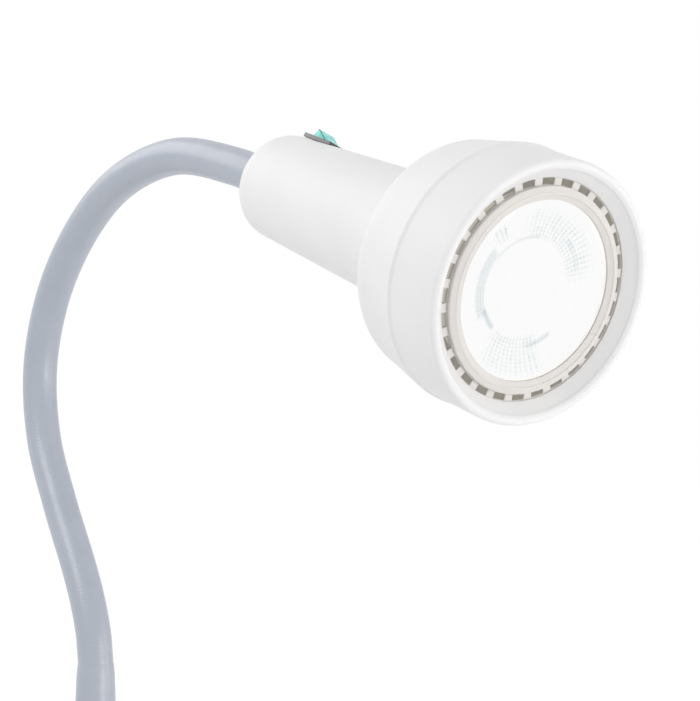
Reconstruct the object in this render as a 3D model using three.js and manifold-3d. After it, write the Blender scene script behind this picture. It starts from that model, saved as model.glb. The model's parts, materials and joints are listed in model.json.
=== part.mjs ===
// Examination lamp: a lamp head with an LED reflector lamp and a rocker switch, on a flexible
// arm that turns in a table clamp. Millimetres, +Z up. The origin is on the face of the clamp's
// upper jaw, on the axis of the arm's column. The arm bends in the XZ plane and reaches to +X.

import * as THREE from 'three';
import { mergeVertices } from 'three/addons/utils/BufferGeometryUtils.js';
import Module from 'manifold-3d';

const wasm = await Module();
wasm.setup();

// ---------------------------------------------------------------- driving dimensions

const GAP = 0.3; // between pieces that touch
const WALL = 2.2; // wall of the plastic mouldings
const HEAD_SIDES = 36; // flats round the head's turned pieces

// Where the head stands: the middle of its back wall, its tilt and its roll.
const HEAD_BACK = [183.1, 383.3]; // x and z
const TILT = THREE.MathUtils.degToRad(19); // light axis below the horizontal
const ROLL = THREE.MathUtils.degToRad(20); // switch side turned away from straight up

// LED reflector lamp, 97 mm across, with a 27 mm screw cap.
const LAMP_R = 48.4;
const LAMP_FRONT = 4.3; // depth of its front face behind the rim
const LAMP_RIM = 6.6; // width of the ring round its lens
const LENS_R = LAMP_R - LAMP_RIM;
const LENS_DROP = 2.1; // lens behind the ring's front
const LENS_THICKNESS = 1.8;
const REFLECTOR_DEPTH = 4.6;
const REFLECTOR_SIDES = 28;
const REFLECTOR_RINGS = 4;
const LED_R = 22.5; // disc that lights up
const LAMP_BASE = 76; // depth of the lamp body's rear end
const LAMP_BASE_R = 17;
const LAMP_WAIST_R = 21;
const LAMP_WAIST = 13; // waist in front of the rear end
const LAMP_SHELF_R = 34; // outside, level with the LED's plate
const PLATE = 2.4; // the plate that the LED sits on
const WIRE_HOLE_R = 4;
const CAP_SETBACK = 4.3; // from the lamp's body to its cap
const CAP_START = LAMP_BASE + CAP_SETBACK;
const CAP_LENGTH = 22;
const CAP_R = 13.2;
const CAP_WALL = 1.7; // thread and shell together
const CAP_TIP = 2.4; // insulated end behind the cap
const CONTACT = 1.6; // thickness of the lamp's end contact

// Front shroud and bell.
const VENT_CHANNEL = 3.6; // from the lamp's ring to the bell
const BELL_BOTTOM_R = LAMP_R + VENT_CHANNEL;
const BELL_WIDTH = 9.8; // from the bell's foot to the outer face
const SHROUD_R = BELL_BOTTOM_R + BELL_WIDTH;
const SHROUD_LENGTH = 30.8;
const LIP_R = 2.4; // round of the front rim
const BELL_DEPTH = 6.8;
const BELL_SKIRT = 0.6;
const TONGUE = 4; // register of the shroud inside the rear shell
const TONGUE_WALL = 1.2;

// Vent ring between the bell and the lamp.
const VENT_COUNT = 28;
const VENT_LAND = 2; // solid edge under the lamp's ring
const VENT_INNER_R = LAMP_R + 0.1;
const VENT_OUTER_R = BELL_BOTTOM_R - GAP;
const VENT_OPEN = 0.62; // open share of the pitch
const VENT_THICKNESS = 1.8;
const VENT_RING_INNER_R = VENT_INNER_R - VENT_LAND;

// Rear shell and neck, moulded as two halves.
const SHELL_STEP = 0.7; // shell proud of the shroud
const SHELL_FRONT_R = SHROUD_R + SHELL_STEP;
const SHELL_TAPER = 4.9;
const SHELL_REAR_R = SHELL_FRONT_R - SHELL_TAPER; // where the round of the back edge starts
const SHELL_TAPER_END = 59; // depth behind the rim
const SHELL_ROUND = 12;
const NECK_COLLAR = 5; // straight start of the neck
const NECK_START = SHELL_TAPER_END + SHELL_ROUND + NECK_COLLAR;
const NECK_FRONT_R = 33.2;
const NECK_REAR_R = 27.7;
const HEAD_LENGTH = 222;
const NECK_ROUND = 13;
const ARM_HOLE_R = 8.3;

// Lampholder.
const HOLDER_SIDES = 24;
const HOLDER_SLEEVE = 1.1; // wall of the threaded sleeve
const HOLDER_BORE_R = CAP_R + HOLDER_SLEEVE + 2 * GAP;
const HOLDER_WALL = 5.1;
const HOLDER_R = HOLDER_BORE_R + HOLDER_WALL;
const HOLDER_FLANGE_WIDTH = 6.5;
const HOLDER_FLANGE_R = HOLDER_R + HOLDER_FLANGE_WIDTH;
const HOLDER_FLANGE_BACK = 23.7; // flange behind the start of the cap
const HOLDER_FLANGE_AT = CAP_START + HOLDER_FLANGE_BACK;
const HOLDER_FLANGE = 3;
const HOLDER_FLOOR = 9.7; // rear face behind the end of the cap
const HOLDER_REAR = CAP_START + CAP_LENGTH + HOLDER_FLOOR;
const SPRING = 0.8; // thickness of the spring contact
const RIB_R = HOLDER_R + 2.5; // inner edge of the two ribs that hold the flange
const RIB = 2;

// Rocker switch on the neck.
const SWITCH_FROM_BACK = 25.8; // its middle, in front of the head's back wall
const SWITCH_AT = HEAD_LENGTH - SWITCH_FROM_BACK;
const BEZEL_LENGTH = 23.5;
const BEZEL_WIDTH = 15.5;
const BEZEL_HEIGHT = 2.2;
const SWITCH_LENGTH = BEZEL_LENGTH - 4.5;
const SWITCH_WIDTH = BEZEL_WIDTH - 2.1;
const SWITCH_DEPTH = 12.6;
const ROCKER_REACH = SWITCH_LENGTH / 2 - GAP - 1.95; // from its pivot to the end of its flat top
const ROCKER_WIDTH = SWITCH_WIDTH - 2 * (GAP + 0.9);
const ROCKER_DROP = 0.6; // pivot below the bezel's top
const ROCKER_BELOW = 5.4; // pocket below the pivot
const ROCKER_REST = THREE.MathUtils.degToRad(25);
const TERMINAL = 7; // length of a spade terminal
const TERMINAL_AT = SWITCH_LENGTH / 2 - 4.5; // from the switch's middle
const LEAD_R = 1.1;

// Bosses that join the halves, on both sides: depth behind the rim and distance to the side.
// Those on one side take screws, and those on the other side take tight pegs.
const BOSS_PLACES = [[58, SHELL_REAR_R - 13.6], [160, NECK_REAR_R - 8.2]];
const SCREW_R = 1.4;
const SCREW_HEAD_R = 2.9;
const SCREW_TIP = 11; // reach into the upper half
const PEG_R = 1.6;
const PEG_LENGTH = 7;
const BOSS_R = 4.2;

// Flexible arm.
const ARM_R = 10.4;
const ARM_WALL = 1.7;
const CONDUIT_R = ARM_R - ARM_WALL - GAP;
const SOCKET_WALL = 0.5;
const SOCKET_R = CONDUIT_R - SOCKET_WALL;
const BALL_PLAY = 0.9; // room for the ball's flats to turn
const BALL_R = SOCKET_R - BALL_PLAY;
const BALL_SHOULDER = 2;
const BALL_NECK_R = BALL_R - BALL_SHOULDER;
const BALL_NECK_WALL = 1.6;
const CABLE_BORE_R = BALL_NECK_R - BALL_NECK_WALL;
const BALL_NECK_LENGTH = 9;
const SOCKET_LIP = 2.2;
const SHEATH_SETBACK = 2.8;
const LINKS = 8;
const FIRST_JOINT = 12; // along the arm, from its foot
const LAST_JOINT = 18; // along the arm, from the head
const ARM_SIDES = 12;

// Table clamp.
const CLAMP_WIDTH = 34;
const JAW_FRONT_X = 30;
const SPINE_BACK_X = -36;
const SPINE = 14;
const JAW = 14.7;
const JAW_PAD = 2;
const JAW_TOP_Z = JAW_PAD + GAP + JAW;
const CLAMP_DEPTH = 80; // from the table face to the underside of the lower jaw
const BOSS_HEIGHT = 37;
const BOSS_TOP_Z = JAW_TOP_Z + BOSS_HEIGHT;
const COLUMN_BOSS_R = CLAMP_WIDTH / 2;
const SPINDLE_X = 5;
const SPINDLE_R = 6;
const SPINDLE_TIP_R = SPINDLE_R - 1.5;
const SPINDLE_BELOW = 31; // bar below the lower jaw
const JAW_GAP = 34; // open jaw as stored
const PAD_R = 14;
const PAD_THICKNESS = 6;
const PAD_FACE = 2.5; // plate over the spindle's tip
const BAR_Z = -CLAMP_DEPTH - SPINDLE_BELOW;
const SPINDLE_END_Z = BAR_Z - 7;
const BAR_R = 2.5;
const BAR_LENGTH = 62;
const LOCK_Z = BOSS_TOP_Z - 16;
const LOCK_R = 3;
const LOCK_KNOB_R = 9.5;
const LOCK_KNOB = 9;
const GLAND_Z = JAW_TOP_Z - 6;
const GLAND_R = 4.2;
const GLAND_BORE_R = 2.5;
const GLAND_LENGTH = 9;

// Column at the foot of the arm.
const ARM_FOOT_Z = 119;
const SLEEVE_BOTTOM_Z = BOSS_TOP_Z + 4;
const SLEEVE_TOP_R = ARM_R + 0.7;
const SLEEVE_FLARE = 2.2;
const SLEEVE_BOTTOM_R = SLEEVE_TOP_R + SLEEVE_FLARE;
const FERRULE_R = ARM_R - 0.8;
const FERRULE_WALL = 1.3;
const FERRULE_SHOULDER = 8; // from the arm's foot down to the ferrule's shoulder
const FERRULE_OVERLAP = 16; // ferrule over the spigot
const SPIGOT_R = FERRULE_R - FERRULE_WALL - GAP;
const SPIGOT_WALL = 2.5;
const SPIGOT_BORE_R = SPIGOT_R - SPIGOT_WALL;
const SPIGOT_BOTTOM_Z = JAW_TOP_Z - 1;
const SPIGOT_TOP_Z = ARM_FOOT_Z - 19;
const LOCK_GROOVE = 1; // depth of the spigot's groove
const LOCK_GROOVE_HALF = 4;

// The arm's centre line from its foot to the back of the head, as x and z.
const ARM_POINTS = [
  [0, ARM_FOOT_Z], [-3.2, 137], [-10.5, 156], [-20.8, 175], [-44.8, 213], [-64.9, 252],
  [-70.3, 293], [-57.1, 334], [-27, 370], [19, 398], [82.5, 408.5], [144.2, 396.5], HEAD_BACK,
];

// ---------------------------------------------------------------- materials

const finish = (color, roughness, metalness = 0, opacity = 1) =>
  new THREE.MeshStandardMaterial({ color, roughness, metalness, opacity, transparent: opacity < 1 });

const MATERIALS = {
  housing: finish(0xf1f1f2, 0.45),
  trim: finish(0xece9e4, 0.4),
  dark: finish(0x3a3d40, 0.5),
  lens: finish(0xf7fbff, 0.08, 0, 0.35),
  mirror: finish(0xe9eef2, 0.12, 1),
  led: finish(0xfff6cf, 0.6),
  ceramic: finish(0xf2efe8, 0.35),
  brass: finish(0xc9a24f, 0.3, 1),
  steel: finish(0xb9bcc0, 0.35, 1),
  board: finish(0x2f6b3c, 0.6),
  sheath: finish(0xa8aeba, 0.5),
  rocker: finish(0x64f0e1, 0.15, 0, 0.8),
  wire: finish(0x6f4a2f, 0.6),
  rubber: finish(0x2b2b2d, 0.9),
  enamel: finish(0xd9dbde, 0.4),
};

// ---------------------------------------------------------------- helpers

/** A closed geometry as a solid for cutting and joining. */
function solidOf(geometry) {
  const bare = geometry.index ? geometry.toNonIndexed() : geometry.clone();
  bare.deleteAttribute('normal');
  bare.deleteAttribute('uv');
  const merged = mergeVertices(bare, 1e-4);
  const corners = merged.index.array;
  const faces = [];
  for (let i = 0; i < corners.length; i += 3) {
    const [a, b, c] = [corners[i], corners[i + 1], corners[i + 2]];
    if (a !== b && b !== c && c !== a) faces.push(a, b, c);
  }
  return new wasm.Manifold(new wasm.Mesh({
    numProp: 3,
    vertProperties: new Float32Array(merged.attributes.position.array),
    triVerts: new Uint32Array(faces),
  }));
}

/** A solid as a geometry, with flat faces. */
function geometryOf(solid) {
  const mesh = solid.getMesh();
  const geometry = new THREE.BufferGeometry();
  const stride = mesh.numProp;
  const points = new Float32Array(mesh.numVert * 3);
  for (let i = 0; i < mesh.numVert; i += 1) {
    for (let k = 0; k < 3; k += 1) points[3 * i + k] = mesh.vertProperties[stride * i + k];
  }
  geometry.setAttribute('position', new THREE.BufferAttribute(points, 3));
  geometry.setIndex(new THREE.BufferAttribute(new Uint32Array(mesh.triVerts), 1));
  geometry.computeVertexNormals();
  return geometry;
}

/** Points on an arc in a profile, from one angle to another in degrees. */
function arc(r, z, radius, from, to, steps) {
  const points = [];
  for (let i = 0; i <= steps; i += 1) {
    const angle = THREE.MathUtils.degToRad(from + ((to - from) * i) / steps);
    points.push([r + radius * Math.cos(angle), z + radius * Math.sin(angle)]);
  }
  return points;
}

/** Turn a closed profile of [radius, z] points about the Z axis. */
function turned(profile, segments = 20) {
  const loop = profile.map(([r, z]) => new THREE.Vector2(r, z));
  if (THREE.ShapeUtils.area(loop) < 0) loop.reverse();
  loop.push(loop[0].clone());
  return solidOf(new THREE.LatheGeometry(loop, segments).rotateX(Math.PI / 2));
}

/** A cylinder about the Z axis between two heights. */
function rod(radius, z0, z1, sides = 20, topRadius = radius) {
  const geometry = new THREE.CylinderGeometry(topRadius, radius, z1 - z0, sides);
  return solidOf(geometry.rotateX(Math.PI / 2).translate(0, 0, (z0 + z1) / 2));
}

/** A box between two corners. */
function block(low, high) {
  const size = high.map((value, i) => value - low[i]);
  const middle = high.map((value, i) => (value + low[i]) / 2);
  return solidOf(new THREE.BoxGeometry(...size).translate(...middle));
}

/** A ball. */
function ball(radius, centre, sides = 12, rings = 6) {
  const geometry = new THREE.SphereGeometry(radius, sides, rings);
  return solidOf(geometry.translate(...centre));
}

/** A flat outline of [x, y] points, thickened along Z and then moved by a matrix. */
function plate(outline, thickness, matrix = new THREE.Matrix4()) {
  const shape = new THREE.Shape(outline.map(([x, y]) => new THREE.Vector2(x, y)));
  const geometry = new THREE.ExtrudeGeometry(shape, { depth: thickness, bevelEnabled: false });
  return solidOf(geometry.applyMatrix4(matrix));
}

/** A regular outline with its corners on a circle. */
function polygon(radius, sides) {
  const points = [];
  for (let i = 0; i < sides; i += 1) {
    const angle = (2 * Math.PI * i) / sides;
    points.push([radius * Math.cos(angle), radius * Math.sin(angle)]);
  }
  return points;
}

/** A round bar swept along a curve. */
function swept(curve, radius, sides, steps) {
  const shape = new THREE.Shape(polygon(radius, sides).map(([x, y]) => new THREE.Vector2(x, y)));
  return solidOf(new THREE.ExtrudeGeometry(shape, { steps, bevelEnabled: false, extrudePath: curve }));
}

/** Turn and move a solid. */
function moved(solid, matrix) {
  return solidOf(geometryOf(solid).applyMatrix4(matrix));
}

/** The matrix that lays the Z axis of a solid along a direction, at a place. */
function along(direction, place) {
  const turn = new THREE.Quaternion();
  turn.setFromUnitVectors(new THREE.Vector3(0, 0, 1), new THREE.Vector3(...direction).normalize());
  return new THREE.Matrix4().compose(new THREE.Vector3(...place), turn, new THREE.Vector3(1, 1, 1));
}

/** Put a solid into a group as one named piece. */
function piece(group, name, solid, material) {
  const mesh = new THREE.Mesh(geometryOf(solid), material);
  mesh.name = name;
  group.add(mesh);
}

// ---------------------------------------------------------------- head
// The head's own frame has its origin at the centre of the front rim, +Z along the light and
// +X towards the switch, so a depth behind the rim is a negative z.

/** Radius of the rear shell's outer face at a depth behind the rim. */
function shellRadius(depth) {
  const share = (depth - SHROUD_LENGTH - GAP) / (SHELL_TAPER_END - SHROUD_LENGTH - GAP);
  return SHELL_FRONT_R + (SHELL_REAR_R - SHELL_FRONT_R) * share;
}

/** The front shroud, with its rounded rim, conical bell and register tongue. */
function frontShroud() {
  const inner = SHROUD_R - WALL;
  const tongueEnd = SHROUD_LENGTH + TONGUE;
  const tongueR = (depth) => shellRadius(depth) - WALL - GAP;
  const skirtEnd = -BELL_DEPTH - BELL_SKIRT;
  return turned([
    [SHROUD_R, -SHROUD_LENGTH],
    ...arc(SHROUD_R - LIP_R, -LIP_R, LIP_R, 0, 140, 4),
    [BELL_BOTTOM_R, -BELL_DEPTH],
    [BELL_BOTTOM_R, skirtEnd],
    [BELL_BOTTOM_R + WALL, skirtEnd],
    [inner, -LIP_R - WALL],
    [inner, -SHROUD_LENGTH + TONGUE],
    [tongueR(SHROUD_LENGTH) - TONGUE_WALL, -SHROUD_LENGTH],
    [tongueR(tongueEnd) - TONGUE_WALL, -tongueEnd],
    [tongueR(tongueEnd), -tongueEnd],
    [tongueR(SHROUD_LENGTH), -SHROUD_LENGTH],
  ], HEAD_SIDES);
}

/** The flat ring behind the bell, with a window for air between each pair of ribs. */
function ventRing() {
  const front = -BELL_DEPTH - BELL_SKIRT - GAP;
  const back = front - VENT_THICKNESS;
  const outer = SHROUD_R - WALL - GAP;
  let ring = turned([
    [VENT_RING_INNER_R, front], [outer, front], [outer, back], [VENT_RING_INNER_R, back],
  ], VENT_COUNT);
  const pitch = (2 * Math.PI) / VENT_COUNT;
  const half = ((VENT_INNER_R + VENT_OUTER_R) / 4) * pitch * VENT_OPEN;
  for (let i = 0; i < VENT_COUNT; i += 1) {
    const window = block([VENT_INNER_R, -half, back - 1], [VENT_OUTER_R, half, front + 1]);
    ring = ring.subtract(moved(window, new THREE.Matrix4().makeRotationZ(i * pitch)));
  }
  return ring;
}

/** Outer and inner outline of the rear shell and neck, from the seam to the arm's hole. */
function housingOutline(offset) {
  const edge = SHELL_ROUND - offset;
  const tail = NECK_ROUND - offset;
  const edgeR = SHELL_REAR_R - SHELL_ROUND;
  const tailR = NECK_REAR_R - NECK_ROUND;
  return [
    [SHELL_FRONT_R - offset, -SHROUD_LENGTH - GAP],
    ...arc(edgeR, -SHELL_TAPER_END, edge, 0, -90, 4),
    [NECK_FRONT_R - offset, -SHELL_TAPER_END - edge],
    [NECK_FRONT_R - offset, -NECK_START],
    ...arc(tailR, -HEAD_LENGTH + NECK_ROUND, tail, 0, -90, 4),
    [0, -HEAD_LENGTH + offset],
  ];
}

/** The filled shape of the rear shell and neck. */
function housingShape(offset) {
  return turned([[0, -SHROUD_LENGTH - GAP], ...housingOutline(offset)], HEAD_SIDES);
}

/** Radius of the neck's outer face at a depth behind the rim. */
function neckRadius(depth) {
  const share = (depth - NECK_START) / (HEAD_LENGTH - NECK_ROUND - NECK_START);
  return NECK_FRONT_R + (NECK_REAR_R - NECK_FRONT_R) * share;
}

/** The ring that the lampholder's flange sits in. */
function holderRing() {
  const front = -HOLDER_FLANGE_AT + GAP;
  const back = -HOLDER_FLANGE_AT - HOLDER_FLANGE - GAP;
  const seat = HOLDER_FLANGE_R + GAP;
  const outer = neckRadius(HOLDER_FLANGE_AT) - WALL / 2;
  return turned([
    [outer, front + RIB], [RIB_R, front + RIB], [RIB_R, front], [seat, front],
    [seat, back], [RIB_R, back], [RIB_R, back - RIB], [outer, back - RIB],
  ], HOLDER_SIDES);
}

/** A cylinder across the head, at a depth and a distance to the side, along X. */
function crossRod(radius, x0, x1, depth, y, sides = 8) {
  const length = x1 - x0;
  const rodX = new THREE.CylinderGeometry(radius, radius, length, sides).rotateZ(Math.PI / 2);
  return solidOf(rodX.translate((x0 + x1) / 2, y, -depth));
}

/** The places of the housing screws. */
const SCREW_PLACES = BOSS_PLACES.map(([depth, y]) => [depth, -y]);

/** Depth of the outer face above the split plane at a screw. */
function screwReach([depth, y]) {
  const radius = depth < NECK_START ? SHELL_REAR_R : neckRadius(depth);
  return Math.sqrt(radius * radius - y * y);
}

/** Both halves of the rear shell and neck, split in the plane x = 0. */
function housingHalves() {
  const outside = housingShape(0);
  const hole = rod(ARM_HOLE_R, -HEAD_LENGTH - 1, -HEAD_LENGTH + NECK_ROUND);
  let shell = outside.subtract(housingShape(WALL)).add(holderRing());
  for (const [depth, y] of [...BOSS_PLACES, ...SCREW_PLACES]) {
    shell = shell.add(crossRod(BOSS_R, -SHELL_FRONT_R, SHELL_FRONT_R, depth, y).intersect(outside));
  }
  shell = shell.subtract(hole);
  const big = HEAD_LENGTH;
  const upperSide = block([GAP / 2, -big, -2 * big], [big, big, big]);
  const lowerSide = block([-big, -big, -2 * big], [-GAP / 2, big, big]);
  let upper = shell.intersect(upperSide).subtract(switchRecess()).add(switchPad());
  let lower = shell.intersect(lowerSide);
  for (const [depth, y] of BOSS_PLACES) {
    upper = upper.add(crossRod(PEG_R, -PEG_LENGTH, 1, depth, y, 12));
    lower = lower.subtract(crossRod(PEG_R + GAP, -PEG_LENGTH - 1, 1, depth, y, 12));
  }
  for (const place of SCREW_PLACES) {
    const [depth, y] = place;
    const head = screwReach(place) - SCREW_HEAD_R - WALL;
    upper = upper.subtract(crossRod(SCREW_R + GAP, -1, SCREW_TIP + 1, depth, y));
    lower = lower.subtract(crossRod(SCREW_R + GAP, -SHELL_FRONT_R, 1, depth, y));
    lower = lower.subtract(crossRod(SCREW_HEAD_R + GAP, -SHELL_FRONT_R, -head, depth, y));
  }
  return [upper.subtract(switchCutout()), lower];
}

/** Height of the switch's seat above the head's axis, level with the neck at the bezel's sides. */
const SWITCH_SEAT_X = Math.sqrt(neckRadius(SWITCH_AT) ** 2 - (BEZEL_WIDTH / 2) ** 2);

/** The room cut out of the neck's crown for the switch's bezel. */
function switchRecess() {
  const [halfY, halfZ] = [BEZEL_WIDTH / 2 + GAP, BEZEL_LENGTH / 2 + GAP];
  return block([SWITCH_SEAT_X, -halfY, -SWITCH_AT - halfZ], [SHELL_FRONT_R, halfY, -SWITCH_AT + halfZ]);
}

/** The flat on the neck that the switch's bezel sits on. */
function switchPad() {
  const [halfY, halfZ] = [BEZEL_WIDTH / 2, BEZEL_LENGTH / 2];
  const foot = NECK_REAR_R - 2 * WALL;
  return block([foot, -halfY, -SWITCH_AT - halfZ], [SWITCH_SEAT_X, halfY, -SWITCH_AT + halfZ]);
}

/** The hole through the pad for the body of the switch. */
function switchCutout() {
  const [halfY, halfZ] = [SWITCH_WIDTH / 2 + GAP, SWITCH_LENGTH / 2 + GAP];
  return block([0, -halfY, -SWITCH_AT - halfZ], [SHELL_FRONT_R, halfY, -SWITCH_AT + halfZ]);
}

/** A self-tapping screw, its head in the lower half and its tip in the upper one. */
function housingScrew(place) {
  const [depth, y] = place;
  const head = screwReach(place) - SCREW_HEAD_R - WALL;
  const shank = crossRod(SCREW_R, -head + GAP, SCREW_TIP, depth, y);
  const cap = crossRod(SCREW_HEAD_R, -head - 1.8, -head - GAP, depth, y);
  const neck = crossRod(SCREW_R, -head - 1, -head + 1, depth, y);
  const slot = block(
    [-head - 3, y - 0.4, -depth - SCREW_HEAD_R], [-head - 1.2, y + 0.4, -depth + SCREW_HEAD_R]);
  return cap.add(neck).add(shank).subtract(slot);
}

/** Body of the switch, with its bezel and the pocket that the rocker turns in. */
function switchHousing() {
  const seat = SWITCH_SEAT_X + GAP;
  const top = seat + BEZEL_HEIGHT;
  const at = -SWITCH_AT;
  const bezel = block(
    [seat, -BEZEL_WIDTH / 2, at - BEZEL_LENGTH / 2], [top, BEZEL_WIDTH / 2, at + BEZEL_LENGTH / 2]);
  const body = block(
    [seat - SWITCH_DEPTH, -SWITCH_WIDTH / 2, at - SWITCH_LENGTH / 2],
    [seat + 1, SWITCH_WIDTH / 2, at + SWITCH_LENGTH / 2]);
  const halfY = ROCKER_WIDTH / 2 + GAP;
  const halfZ = ROCKER_REACH + GAP;
  const pocket = block([top - ROCKER_DROP - ROCKER_BELOW, -halfY, at - halfZ], [top + 1, halfY, at + halfZ]);
  return bezel.add(body).subtract(pocket);
}

/** Height of the rocker's pivot above the head's axis. */
const ROCKER_PIVOT_X = SWITCH_SEAT_X + GAP + BEZEL_HEIGHT - ROCKER_DROP;

/** The rocker, with its rear end up. */
function rocker() {
  const spread = THREE.MathUtils.degToRad(20.2);
  const [reach, rise] = [ROCKER_REACH * Math.cos(spread), ROCKER_REACH * Math.sin(spread)];
  const half = [[reach, rise], [reach, 0.3 - rise], [2.5, -4.2]];
  const mirrored = half.map(([x, y]) => [-x, y]).reverse();
  const outline = [...half, ...mirrored].reverse();
  const upright = new THREE.Matrix4().makeBasis(
    new THREE.Vector3(0, 0, -1), new THREE.Vector3(1, 0, 0), new THREE.Vector3(0, -1, 0));
  const centred = new THREE.Matrix4().makeTranslation(0, 0, -ROCKER_WIDTH / 2);
  const tipped = new THREE.Matrix4().makeRotationZ(ROCKER_REST);
  const place = new THREE.Matrix4().makeTranslation(ROCKER_PIVOT_X, 0, -SWITCH_AT);
  return plate(outline, ROCKER_WIDTH, place.multiply(upright).multiply(tipped).multiply(centred));
}

/** A spade terminal under the switch. */
function switchTerminal(side) {
  const top = SWITCH_SEAT_X - SWITCH_DEPTH;
  const at = -SWITCH_AT + side * TERMINAL_AT;
  return block([top - TERMINAL, -2.4, at - 0.4], [top, 2.4, at + 0.4]);
}

/** The ring around the lamp's face, with a fine ridge. */
function lampRim() {
  const front = -LAMP_FRONT;
  const back = -BELL_DEPTH - BELL_SKIRT;
  const inner = LENS_R + GAP;
  return turned([
    [inner, back], [inner, front - 1.6], [inner + 2.5, front - 0.5], [inner + 2.8, front],
    [inner + 3.5, front], [inner + 3.8, front - 0.4], [LAMP_R - 0.5, front - 0.4],
    [LAMP_R, front - 0.9], [LAMP_R, back],
  ], HEAD_SIDES);
}

/** Back face of the lens, as a z. */
const LENS_BACK_Z = -LAMP_FRONT - LENS_DROP - LENS_THICKNESS;

/** The clear front disc of the lamp, slightly domed. */
function lampLens() {
  const front = -LAMP_FRONT - LENS_DROP;
  return turned([
    [0, LENS_BACK_Z], [LENS_R, LENS_BACK_Z], [LENS_R, front - 0.5], [LENS_R * 0.6, front - 0.1], [0, front],
  ], HEAD_SIDES);
}

/** The faceted bowl behind the lens. */
function lampReflector() {
  const mouth = LENS_BACK_Z - GAP;
  const outerR = LENS_R - 1;
  const bowl = [];
  for (let i = 0; i <= REFLECTOR_RINGS; i += 1) {
    const share = i / REFLECTOR_RINGS;
    const radius = LED_R + GAP + (outerR - LED_R - GAP) * (1 - share);
    bowl.push([radius, mouth - REFLECTOR_DEPTH * share * (2 - share)]);
  }
  const outside = bowl.map(([r, z]) => [r + 1, z - 0.6]).reverse();
  return turned([...bowl, ...outside], REFLECTOR_SIDES);
}

/** Depth of the plate that the LED sits on, as a z. */
const LED_SEAT_Z = LENS_BACK_Z - GAP - REFLECTOR_DEPTH - 3;

/** The LED on its round board. */
function ledModule() {
  const low = LED_SEAT_Z + GAP;
  return rod(LED_R + 3, low, low + 1.4).add(rod(LED_R - 1, low + 1, low + 2.4));
}

/** The lamp's metal body, open at the front, with a plate for the LED and a wire hole. */
function lampBody() {
  const front = -BELL_DEPTH - BELL_SKIRT - VENT_THICKNESS - 2 * GAP;
  const topR = VENT_RING_INNER_R - 0.6;
  const under = LED_SEAT_Z - PLATE;
  const shelfR = LAMP_SHELF_R - 2.8;
  return turned([
    [topR, front], [topR - 1, front - 8], [LAMP_SHELF_R, LED_SEAT_Z - 4],
    [LAMP_WAIST_R, -LAMP_BASE + LAMP_WAIST], [LAMP_BASE_R, -LAMP_BASE + 4], [LAMP_BASE_R, -LAMP_BASE],
    [5, -LAMP_BASE], [5, -LAMP_BASE + 2], [LAMP_BASE_R - WALL, -LAMP_BASE + 4],
    [LAMP_WAIST_R - 2.4, -LAMP_BASE + LAMP_WAIST], [shelfR, LED_SEAT_Z - 4], [shelfR, under],
    [WIRE_HOLE_R, under], [WIRE_HOLE_R, LED_SEAT_Z], [LAMP_SHELF_R - 1, LED_SEAT_Z],
    [topR - WALL, front - 6], [topR - WALL, front],
  ]);
}

/** The driver's circuit board, with three components, inside the lamp's body. */
function driverBoard() {
  const [low, high] = [-LAMP_BASE + 5, LED_SEAT_Z - PLATE - GAP];
  let board = block([-0.8, -12, low], [0.8, 12, high]);
  board = board.add(moved(rod(3.6, 0, 9, 16), along([0, 0, 1], [4.2, -4, low + 6])));
  board = board.add(block([0.7, 2, low + 5], [6, 9, low + 12]));
  return board.add(block([-4, -6, low + 8], [-0.7, 3, low + 16]));
}

/** Insulated end of the lamp, as a z. */
const TIP_Z = -CAP_START - CAP_LENGTH - CAP_TIP;

/** The insulating core between the lamp's body and its cap. */
function capCore() {
  const top = -LAMP_BASE - GAP;
  const [end, tip] = [-CAP_START - CAP_LENGTH, TIP_Z];
  const [shoulderR, coreR] = [LAMP_BASE_R - 2, CAP_R - CAP_WALL];
  return turned([
    [0, top], [shoulderR, top], [shoulderR, -CAP_START + GAP], [coreR, -CAP_START - 0.5],
    [coreR, end + 2], [8, end - 1.5], [4, tip], [0, tip],
  ], 24);
}

/** The screw shell, with its rolled thread. */
function screwCap() {
  const profile = [];
  const turns = 4;
  const pitch = (CAP_LENGTH - 4) / turns;
  for (let i = 0; i < turns; i += 1) {
    const z = -CAP_START - 2 - i * pitch;
    profile.push([CAP_R - 0.8, z], [CAP_R, z - pitch / 2]);
  }
  const inner = CAP_R - CAP_WALL + GAP;
  const end = -CAP_START - CAP_LENGTH + 2;
  return turned([[inner, -CAP_START - 0.5], [CAP_R - 0.8, -CAP_START - 0.5], ...profile,
    [CAP_R - 0.8, end], [inner, end]]);
}

/** The lampholder, a cup with a flange held between the housing's ribs. */
function lampholder() {
  const mouth = -CAP_START - 1.5;
  const floor = TIP_Z - CONTACT - 3 * GAP - SPRING;
  const flangeFront = -HOLDER_FLANGE_AT;
  const flangeBack = flangeFront - HOLDER_FLANGE;
  return turned([
    [HOLDER_BORE_R, mouth], [HOLDER_R, mouth], [HOLDER_R, flangeFront], [HOLDER_FLANGE_R, flangeFront],
    [HOLDER_FLANGE_R, flangeBack], [HOLDER_R, flangeBack], [HOLDER_R, -HOLDER_REAR],
    [2.4, -HOLDER_REAR], [2.4, floor], [HOLDER_BORE_R, floor],
  ], HOLDER_SIDES);
}

/** The threaded sleeve in the lampholder. */
function holderSleeve() {
  const [front, back] = [-CAP_START - 3, -CAP_START - CAP_LENGTH + 1];
  return turned([
    [CAP_R + GAP, front], [HOLDER_BORE_R - GAP, front], [HOLDER_BORE_R - GAP, back], [CAP_R + GAP, back],
  ], 24);
}

/** The lampholder's spring contact, under the lamp's end contact. */
function centreContact() {
  const top = TIP_Z - CONTACT - GAP;
  return block([-5, -2.2, top - SPRING], [5, 2.2, top]);
}

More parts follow.
